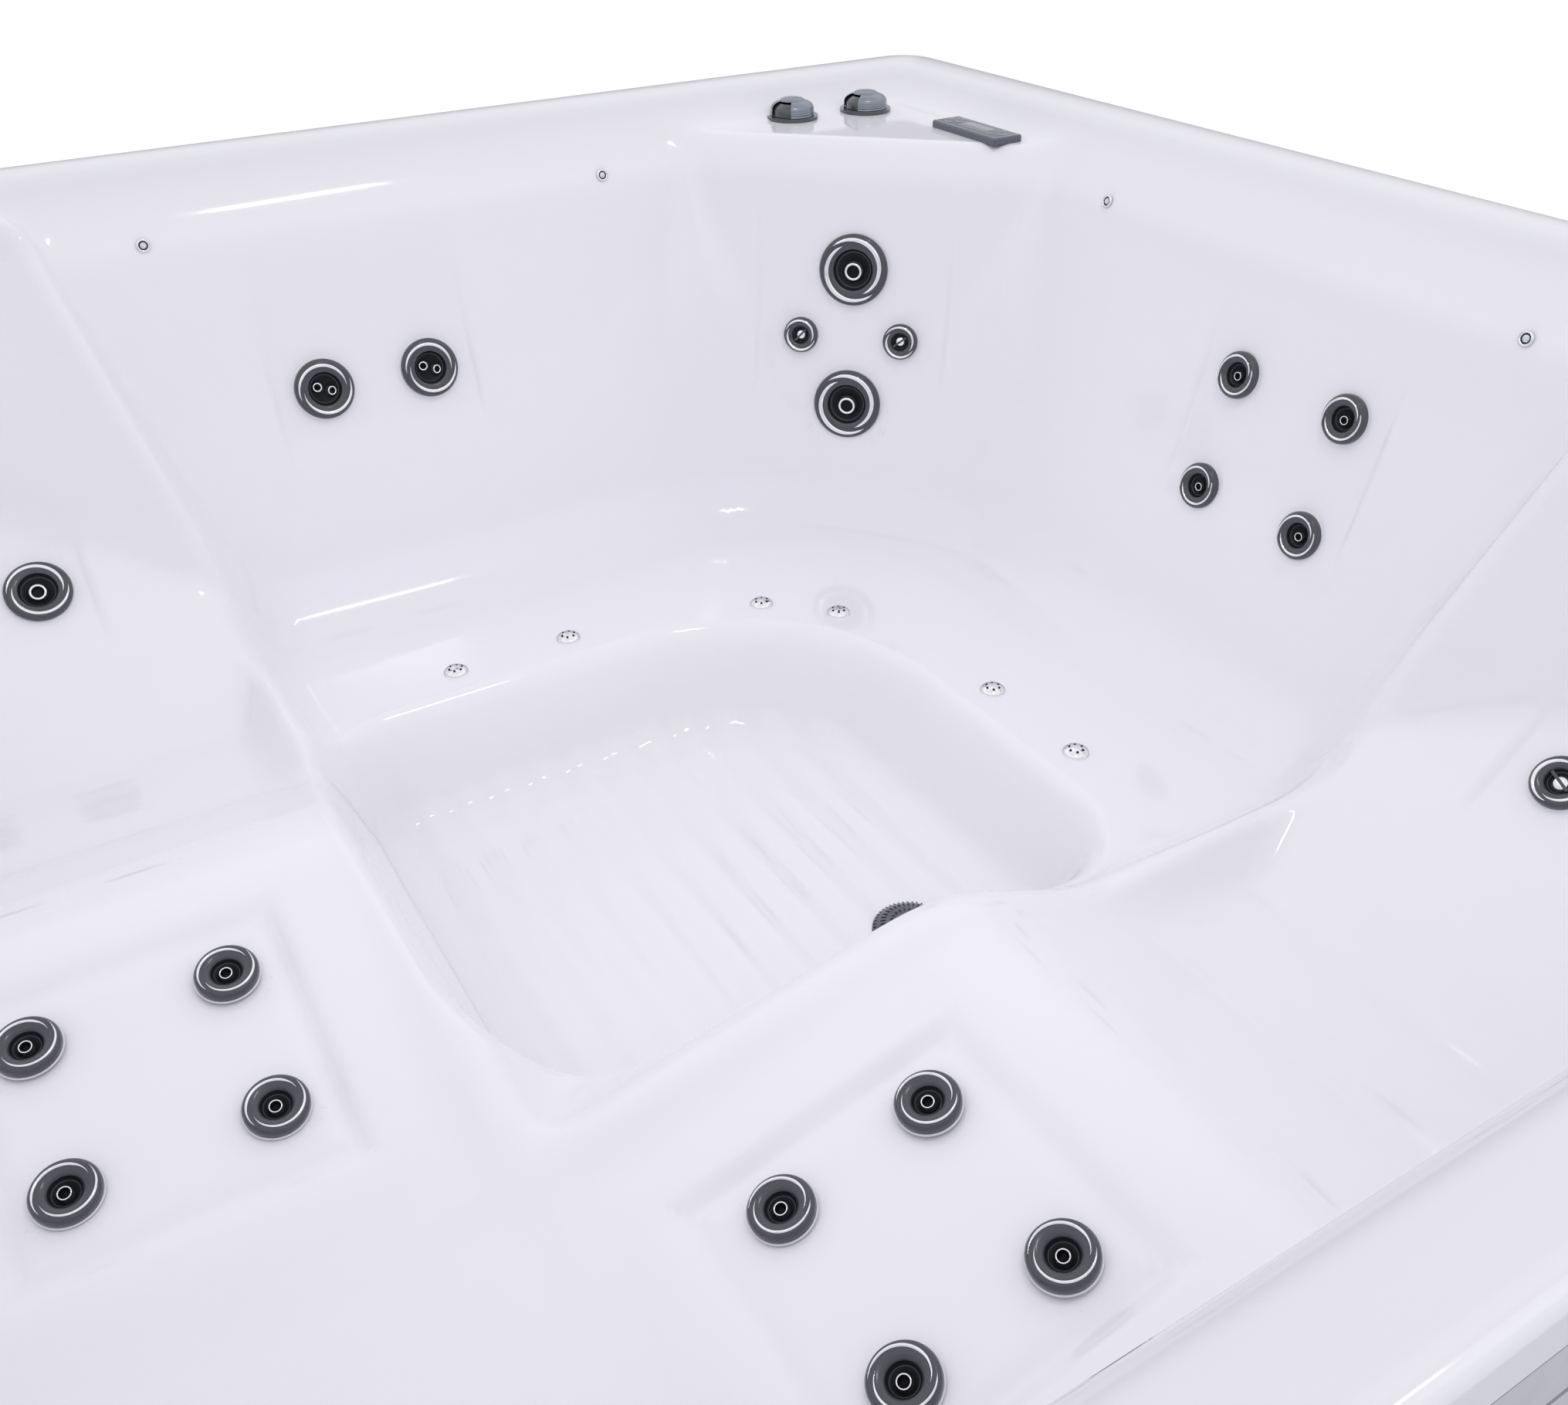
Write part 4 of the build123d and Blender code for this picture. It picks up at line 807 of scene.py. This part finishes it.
# Each jet's kind, and the angle in degrees at which its first inlay starts
JET_KINDS = {
    "jet_corner_top": ("large", 132), "jet_corner_bottom": ("large", 128),
    "jet_corner_left": ("bar", 165), "jet_corner_right": ("bar", 155),
    "jet_back_left": ("twin", 25), "jet_back_right": ("twin", 12),
    "jet_side_top_left": ("single", 5), "jet_side_top_right": ("single", 5),
    "jet_side_bottom_left": ("single", 5), "jet_side_bottom_right": ("single", 5),
    "jet_left_lounge_back_inner": ("ring", 20), "jet_left_lounge_back_outer": ("ring", 20),
    "jet_near_lounge_back_inner": ("bar", 45), "jet_near_lounge_back_outer": ("bar", 45),
}
for node in jet_frames:
    kind, start = JET_KINDS.get(node, ("calf", 62 if "left_lounge" in node else 0))
    jet(node, kind, radians(start))


# Bubble jets: domed caps with a ring of holes, each a flat near-black disc of painted shade. The places lie on one side
# of the diagonal, and each has a mirror.
CAP_PLACES = ((-0.072, 0.551), (0.104, 0.551), (0.399, 0.485))
CAP_RADIUS = 0.0172
CAP_EDGE = 0.0012
CAP_HOLES = 6
HOLE_CIRCLE = 0.0095
HOLE_RISE = 0.835
HOLE_LEAN = radians(24)
HOLE_PROFILE = ((0.0018, 0.0006), (0.0001, 0.0006))


def injector_cap(place, rise):
    dome = [(CAP_RADIUS, 0.0), (CAP_RADIUS, CAP_EDGE)]
    for a in np.linspace(0, pi / 2 - 0.01, 9)[1:]:
        dome.append((CAP_RADIUS * cos(a), CAP_EDGE + (rise - CAP_EDGE) * sin(a)))
    pieces = [turned("cap", dome, CHROME, place, 36)]
    level = CAP_EDGE + (rise - CAP_EDGE) * HOLE_RISE
    for hole in range(CAP_HOLES):
        angle = hole * 2 * pi / CAP_HOLES
        spot = place @ Matrix.Translation((HOLE_CIRCLE * cos(angle), HOLE_CIRCLE * sin(angle), level))
        spot = spot @ Matrix.Rotation(angle, 4, "Z") @ Matrix.Rotation(HOLE_LEAN, 4, "Y")
        pieces.append(turned("hole", HOLE_PROFILE, SLATE_WITH_PAINTED_HOLE_SHADE, spot, 12))
    return pieces


def injector_caps():
    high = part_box("air_injectors")[1]
    bench = RIM - BENCH_DEPTH
    pieces = []
    for along, across in CAP_PLACES:
        for x, y in ((along, across), (across, along)):
            pieces += injector_cap(Matrix.Translation((x, y, bench)), high.z - bench)
    return join("injector_caps", pieces)


on_body(injector_caps(), "tub", "chrome", "air_injectors")


# Rim lights: a chrome ring round a clear lens, with a near-black well of painted shade between them
LIGHT_DEPTH = 0.095
LIGHT_PLACES = (-0.294, 0.387)
LIGHT_RING = ((0.0088, 0.0), (0.0088, 0.0015), (0.0078, 0.0026), (0.0066, 0.0024), (0.0060, 0.0012))
LIGHT_WELL = ((0.0060, 0.0012), (0.0042, 0.0008))
LIGHT_LENS = ((0.0044, 0.0008), (0.0034, 0.0020), (0.0001, 0.0026))


def rim_lights():
    pieces = []
    reach = SHOULDER - (LIGHT_DEPTH - SHOULDER_DEPTH) * tan(BACK_TILT)
    inward, upward = cos(BACK_TILT), sin(BACK_TILT)
    for along in LIGHT_PLACES:
        for x, y, axis in ((along, reach, (0, -inward, upward)), (reach, along, (-inward, 0, upward))):
            place = face_frame((x, y, RIM - LIGHT_DEPTH), axis)
            pieces.append(turned("ring", LIGHT_RING, CHROME, place, 28))
            pieces.append(turned("well", LIGHT_WELL, SLATE_WITH_PAINTED_HOLE_SHADE, place, 28))
            pieces.append(turned("lens", LIGHT_LENS, LENS, place, 28))
    return join("rim_lights", pieces)


on_body(rim_lights(), "tub", "lens", "led_lights")


# Knobs. Their profiles are distances in from the radius, and shares of the height.
KNOB_SHOULDER = ((0.0022, 0.58), (0.0052, 0.69), (0.0095, 0.78), (0.0150, 0.845))
KNOB_CROWN = ((0.0168, 0.845), (0.0175, 0.93), (0.0195, 0.97), (0.026, 1.0))
KNOB_CORE = ((0.0035, 0.0), (0.0040, 0.38), (0.0075, 0.56), (0.0140, 0.72))
KNOB_FIN = ((0.0010, 0.0), (0.0010, 0.40), (0.0060, 0.58), (0.0140, 0.76))
KNOB_GROOVES = 4
GROOVE_START = 0.0020
GROOVE_PITCH = 0.0032
NOTCH = radians(64)
FIN_SWEEP = 0.06


def inset(profile, radius, rise):
    return [(radius - inward, rise * share) for inward, share in profile]


def grooved_side(radius):
    """The knob's side, with fine grooves round it and a slight taper."""
    side = [(radius, 0.0)]
    for number in range(KNOB_GROOVES):
        foot = GROOVE_START + number * GROOVE_PITCH
        side += [
            (radius - 0.0002 * number, foot),
            (radius - 0.0011, foot + 0.0005),
            (radius - 0.0003 - 0.0003 * number, foot + 0.0011),
        ]
    return side


def knob(node, notch):
    """A silver cap with a notch in its side, through which a dark core shows between two fins."""
    low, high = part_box(node)
    joint = joint_of[body_of[node]]
    place = Matrix.Translation(Vector(joint["pos_m"]))
    rise = high.z - joint["pos_m"][2]
    radius = (high.y - low.y) / 2
    cap = grooved_side(radius) + inset(KNOB_SHOULDER, radius, rise)
    crown = [cap[-1]] + inset(KNOB_CROWN, radius, rise) + [(0.0001, rise)]
    pieces = [
        turned(node, cap, KNOB_SILVER, place, 72, notch + NOTCH / 2, 2 * pi - NOTCH),
        turned(node, crown, KNOB_SILVER, place, 64),
        turned(node, inset(KNOB_CORE, radius, rise), KNOB_DARK, place, 64),
    ]
    for edge in (notch - NOTCH / 2, notch + NOTCH / 2):
        fin = inset(KNOB_FIN, radius, rise)
        pieces.append(turned(node, fin, KNOB_DARK, place, 2, edge - FIN_SWEEP / 2, FIN_SWEEP))
    return on_body(join(node + "_look", pieces), body_of[node], "knob_silver", node)


knob("diverter_knob", radians(203))
knob("air_knob", radians(184))


FLANGE_PROFILE = ((0.97, 0.0), (0.97, 0.0026), (0.93, 0.0040), (0.70, 0.0040))
TAB_PROFILE = ((1.0, 0.0), (1.0, 0.0022), (0.95, 0.0036))
TABS = 12
TAB_START = 0.1
TAB_SWEEP = 0.20


def valve_flange(node):
    """A thin flange with small tabs round its edge, and a groove under the knob."""
    low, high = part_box(node)
    middle = (low + high) / 2
    radius = (high.x - low.x) / 2
    top = high.z - (RIM - DECK_DEPTH)
    place = Matrix.Translation((middle.x, middle.y, RIM - DECK_DEPTH))
    pieces = [turned(node, scaled(FLANGE_PROFILE, radius) + [(radius * 0.3, top)], FLANGE, place, 72)]
    for tab in range(TABS):
        start = tab * 2 * pi / TABS + TAB_START
        pieces.append(turned(node, scaled(TAB_PROFILE, radius), FLANGE, place, 4, start, TAB_SWEEP))
    return join(node + "_flange", pieces)


for node in ("diverter_valve", "air_valve"):
    on_body(valve_flange(node), "tub", "flange")


# Topside control
def rounded_rectangle(length, width, radius, steps=6):
    points = []
    for quarter, (way_x, way_y) in enumerate(((1, 1), (-1, 1), (-1, -1), (1, -1))):
        for t in np.linspace(0, pi / 2, steps):
            angle = quarter * pi / 2 + t
            x = way_x * (length / 2 - radius) + radius * cos(angle)
            points.append((x, way_y * (width / 2 - radius) + radius * sin(angle)))
    return points


def slab(name, place, outline_at, levels, material, smooth=False):
    """A slab from outlines at rising levels; its top is closed."""
    vertices, faces = [], []
    count = len(outline_at(levels[0][0]))
    for inset, height in levels:
        vertices += [place @ Vector((*point, height)) for point in outline_at(inset)]
    for level in range(len(levels) - 1):
        for step in range(count):
            a = level * count + step
            b = level * count + (step + 1) % count
            faces.append((a, b, b + count, a + count))
    last = (len(levels) - 1) * count
    faces.append(tuple(range(last, last + count)))
    return new_piece(name, vertices, faces, material, smooth)


def topside():
    """The control's housing with a fine light line round its face, and a window framed by another; both lines are
    painted highlights. Levels are (inset, height).
    """
    low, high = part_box("topside_housing")
    length, width = high.y - low.y, high.x - low.x
    middle = (low + high) / 2
    place = Matrix.Translation((middle.x, middle.y, low.z)) @ Matrix.Rotation(pi / 2, 4, "Z")
    rise = high.z - low.z

    def outline(inset):
        return rounded_rectangle(length - 2 * inset, width - 2 * inset, max(0.0035 - inset, 0.0008))

    pieces = [
        slab("body", place, outline, ((0, 0), (0, rise - 0.003), (0.0012, rise - 0.0012)), CONTROL_SIDE),
        slab("edge", place, outline, ((0.0012, rise - 0.0012), (0.0022, rise - 0.0006)), CONTROL_SIDE),
        slab("line", place, outline, ((0.0036, rise - 0.0007), (0.0038, rise - 0.0003)), CONTROL_PAINTED_HIGHLIGHT),
        slab("face", place, outline, ((0.0050, rise - 0.0005), (0.0052, rise - 0.0002)), CONTROL),
    ]
    display_low, display_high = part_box("topside_display")

    def window(inset):
        size = display_high - display_low
        return rounded_rectangle(size.y - 2 * inset, size.x - 2 * inset, 0.002)

    frame_levels = ((-0.0012, rise - 0.0004), (-0.0010, rise - 0.0001))
    pieces.append(slab("window edge", place, window, frame_levels, CONTROL_PAINTED_HIGHLIGHT))
    pieces.append(slab("window", place, window, ((0, rise - 0.0002), (0.0002, rise)), DISPLAY))
    return join("topside_look", pieces)


on_body(topside(), "tub", "control_grey", "topside_housing", "topside_display")


def key_cap(node):
    """A key: a light ring, a painted highlight, round a dark cap."""
    low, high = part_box(node)
    middle = (low + high) / 2
    size = high - low
    place = Matrix.Translation((middle.x, middle.y, low.z)) @ Matrix.Rotation(pi / 2, 4, "Z")

    def outline(inset):
        length, width = size.y - 2 * inset, size.x - 2 * inset
        return rounded_rectangle(length, width, 0.49 * min(length, width))

    rise = size.z
    ring = slab("ring", place, outline, ((0, 0), (0, rise - 0.0006), (0.0006, rise - 0.0002)), CONTROL_PAINTED_HIGHLIGHT)
    cap = slab("cap", place, outline, ((0.0014, rise - 0.0003), (0.0020, rise)), KEY)
    return on_body(join(node + "_look", [ring, cap]), body_of[node], "key_grey", node)


for node in frame["nodes"]:
    if node.startswith("key_"):
        key_cap(node)


# Suction cover: rings of slots, each with its count of slots and its place as a share of the radius. Each slot is a
# flat near-black patch of painted shade.
SLOT_RINGS = ((48, 0.90), (36, 0.72), (24, 0.52))
SLOT_HALF = (0.0034, 0.0010)
SLOT_LIFT = 0.0004
SLOT_LEAN = radians(22)


def suction_look():
    low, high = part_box("suction_cover")
    middle = (low + high) / 2
    radius = (high.x - low.x) / 2
    rise = high.z - low.z
    place = Matrix.Translation((middle.x, middle.y, low.z))
    dome = [(radius, 0), (radius, 0.003), (radius * 0.96, 0.006)]
    dome += [(radius * 0.80, rise * 0.75), (radius * 0.60, rise * 0.94), (radius * 0.3, rise * 0.99), (0.0001, rise)]
    pieces = [turned("dome", dome, SUCTION, place, 72)]
    reaches, heights = zip(*dome[::-1])
    long, wide = SLOT_HALF
    for count, share in SLOT_RINGS:
        height = float(np.interp(share * radius, reaches, heights))
        outward = Matrix.Translation((share * radius, 0, height + SLOT_LIFT)) @ Matrix.Rotation(SLOT_LEAN, 4, "Y")
        for slot in range(count):
            spot = place @ Matrix.Rotation(2 * pi * slot / count, 4, "Z") @ outward
            corners = [spot @ Vector(c) for c in ((-long, -wide, 0), (long, -wide, 0), (long, wide, 0), (-long, wide, 0))]
            pieces.append(new_piece("slot", corners, [(0, 1, 2, 3)], SLATE_WITH_PAINTED_HOLE_SHADE, smooth=False))
    return join("suction_look", pieces)


on_body(suction_look(), "tub", "shelf_plastic", "suction_cover")


# Camera at the photograph's place
VIEW_PITCH = radians(33.823)
VIEW_ROLL = radians(-0.7763)
VIEW_PLACE = Vector((-0.5563, -1.1895, RIM + 0.4606))
PHOTO_WIDTH = 2031
FOCAL_PIXELS = 1857.92
SENSOR_WIDTH = 36

camera_data = bpy.data.cameras.new("photo_camera")
camera_data.sensor_fit = "HORIZONTAL"
camera_data.sensor_width = SENSOR_WIDTH
camera_data.lens = SENSOR_WIDTH * FOCAL_PIXELS / PHOTO_WIDTH
camera_data.clip_start = 0.01
camera = bpy.data.objects.new("photo_camera", camera_data)
bpy.context.scene.collection.objects.link(camera)
ahead_flat = Vector((cos(VIEW_YAW), sin(VIEW_YAW), 0))
ahead = ahead_flat * cos(VIEW_PITCH) - Vector((0, 0, 1)) * sin(VIEW_PITCH)
down = -(ahead_flat * sin(VIEW_PITCH) + Vector((0, 0, 1)) * cos(VIEW_PITCH))
right = cos(VIEW_ROLL) * VIEW_RIGHT - sin(VIEW_ROLL) * down
down = sin(VIEW_ROLL) * VIEW_RIGHT + cos(VIEW_ROLL) * down
camera.matrix_world = Matrix.Translation(VIEW_PLACE) @ Matrix((right, -down, -ahead)).transposed().to_4x4()
bpy.context.scene.camera = camera


# Light, sky and floor
def lamp(name, spot, aim, size, power, colour=(1, 1, 1)):
    data = bpy.data.lights.new(name, "AREA")
    data.shape = "RECTANGLE"
    data.size, data.size_y = size
    data.energy = power
    data.color = colour
    piece = bpy.data.objects.new(name, data)
    bpy.context.scene.collection.objects.link(piece)
    turn = (Vector(aim) - Vector(spot)).to_track_quat("-Z", "Y")
    piece.matrix_world = Matrix.Translation(Vector(spot)) @ turn.to_matrix().to_4x4()


SKY_TINT = (0.965, 0.965, 1.0)
BACKDROP_LEVEL = 0.5
BACKDROP_LEAN = -1.5
BACKDROP_FADE = (0.05, 0.65)
SKY_BANDS = ((0.15, 0.58), (0.42, 0.95), (0.70, 1.0), (0.95, 0.84))
SKY_STRENGTH = 1.065


def sky(strength):
    """A pale sky, dim at the horizon and behind the tub, that the camera sees as plain white."""
    world = bpy.data.worlds.new("studio")
    bpy.context.scene.world = world
    world.use_nodes = True
    nodes, links = world.node_tree.nodes, world.node_tree.links
    light = nodes["Background"]
    place = nodes.new("ShaderNodeTexCoord")
    parts = nodes.new("ShaderNodeSeparateXYZ")
    links.new(place.outputs["Generated"], parts.inputs[0])
    bands = nodes.new("ShaderNodeValToRGB")
    stops = bands.color_ramp.elements
    while len(stops) < len(SKY_BANDS):
        stops.new(1.0)
    for stop, (climb, level) in zip(stops, SKY_BANDS):
        stop.position = climb
        stop.color = (*(level * channel for channel in SKY_TINT), 1)
    links.new(parts.outputs["Z"], bands.inputs["Fac"])
    behind = nodes.new("ShaderNodeVectorMath")
    behind.operation = "DOT_PRODUCT"
    behind.inputs[1].default_value = (cos(VIEW_YAW), sin(VIEW_YAW), BACKDROP_LEAN)
    links.new(place.outputs["Generated"], behind.inputs[0])
    dim = nodes.new("ShaderNodeMapRange")
    dim.inputs["From Min"].default_value, dim.inputs["From Max"].default_value = BACKDROP_FADE
    dim.inputs["To Min"].default_value = 1.0
    dim.inputs["To Max"].default_value = BACKDROP_LEVEL
    links.new(behind.outputs["Value"], dim.inputs["Value"])
    product = nodes.new("ShaderNodeVectorMath")
    product.operation = "SCALE"
    links.new(bands.outputs["Color"], product.inputs[0])
    links.new(dim.outputs["Result"], product.inputs["Scale"])
    links.new(product.outputs["Vector"], light.inputs["Color"])
    light.inputs["Strength"].default_value = strength
    seen = nodes.new("ShaderNodeBackground")
    seen.inputs["Color"].default_value = (1, 1, 1, 1)
    seen.inputs["Strength"].default_value = 1.0
    path = nodes.new("ShaderNodeLightPath")
    mix = nodes.new("ShaderNodeMixShader")
    links.new(path.outputs["Is Camera Ray"], mix.inputs["Fac"])
    links.new(light.outputs["Background"], mix.inputs[1])
    links.new(seen.outputs["Background"], mix.inputs[2])
    links.new(mix.outputs["Shader"], nodes["World Output"].inputs["Surface"])


FLOOR_COLOUR = (0.86, 0.86, 0.88)
FLOOR_ROUGH = 0.7
FLOOR_FADE = (1.5, 2.4)
FLOOR_HALF = 60
FLOOR_DROP = 0.001


def floor():
    """A pale floor that turns to plain white away from the tub."""
    material = bpy.data.materials.new("studio floor")
    material.use_nodes = True
    nodes, links = material.node_tree.nodes, material.node_tree.links
    shader = nodes["Principled BSDF"]
    shader.inputs["Base Color"].default_value = (*FLOOR_COLOUR, 1)
    shader.inputs["Roughness"].default_value = FLOOR_ROUGH
    glow = nodes.new("ShaderNodeEmission")
    glow.inputs["Color"].default_value = (1, 1, 1, 1)
    glow.inputs["Strength"].default_value = 1.0
    place = nodes.new("ShaderNodeTexCoord")
    distance = nodes.new("ShaderNodeVectorMath")
    distance.operation = "LENGTH"
    links.new(place.outputs["Object"], distance.inputs[0])
    spread = nodes.new("ShaderNodeMapRange")
    spread.interpolation_type = "SMOOTHSTEP"
    spread.inputs["From Min"].default_value, spread.inputs["From Max"].default_value = FLOOR_FADE
    links.new(distance.outputs["Value"], spread.inputs["Value"])
    mix = nodes.new("ShaderNodeMixShader")
    links.new(spread.outputs["Result"], mix.inputs["Fac"])
    links.new(shader.outputs["BSDF"], mix.inputs[1])
    links.new(glow.outputs["Emission"], mix.inputs[2])
    links.new(mix.outputs["Shader"], nodes["Material Output"].inputs["Surface"])
    corners = [(x * FLOOR_HALF, y * FLOOR_HALF, -FLOOR_DROP) for x, y in ((-1, -1), (1, -1), (1, 1), (-1, 1))]
    new_piece("floor", corners, [(0, 1, 2, 3)], material, smooth=False)


sky(SKY_STRENGTH)
floor()
lamp("crease light", spot=(0.45, -0.54, RIM + 1.9), aim=(0.1, 0.7, 0.3), size=(0.50, 0.10), power=4.0)
lamp("skirt light", spot=(0.8, -4.0, 0.45), aim=(0.8, -HALF, 0.85), size=(2.0, 0.5), power=20,
     colour=(0.86, 0.86, 1.0))
bpy.context.scene.view_settings.view_transform = "Standard"
bpy.context.scene.view_settings.look = "None"
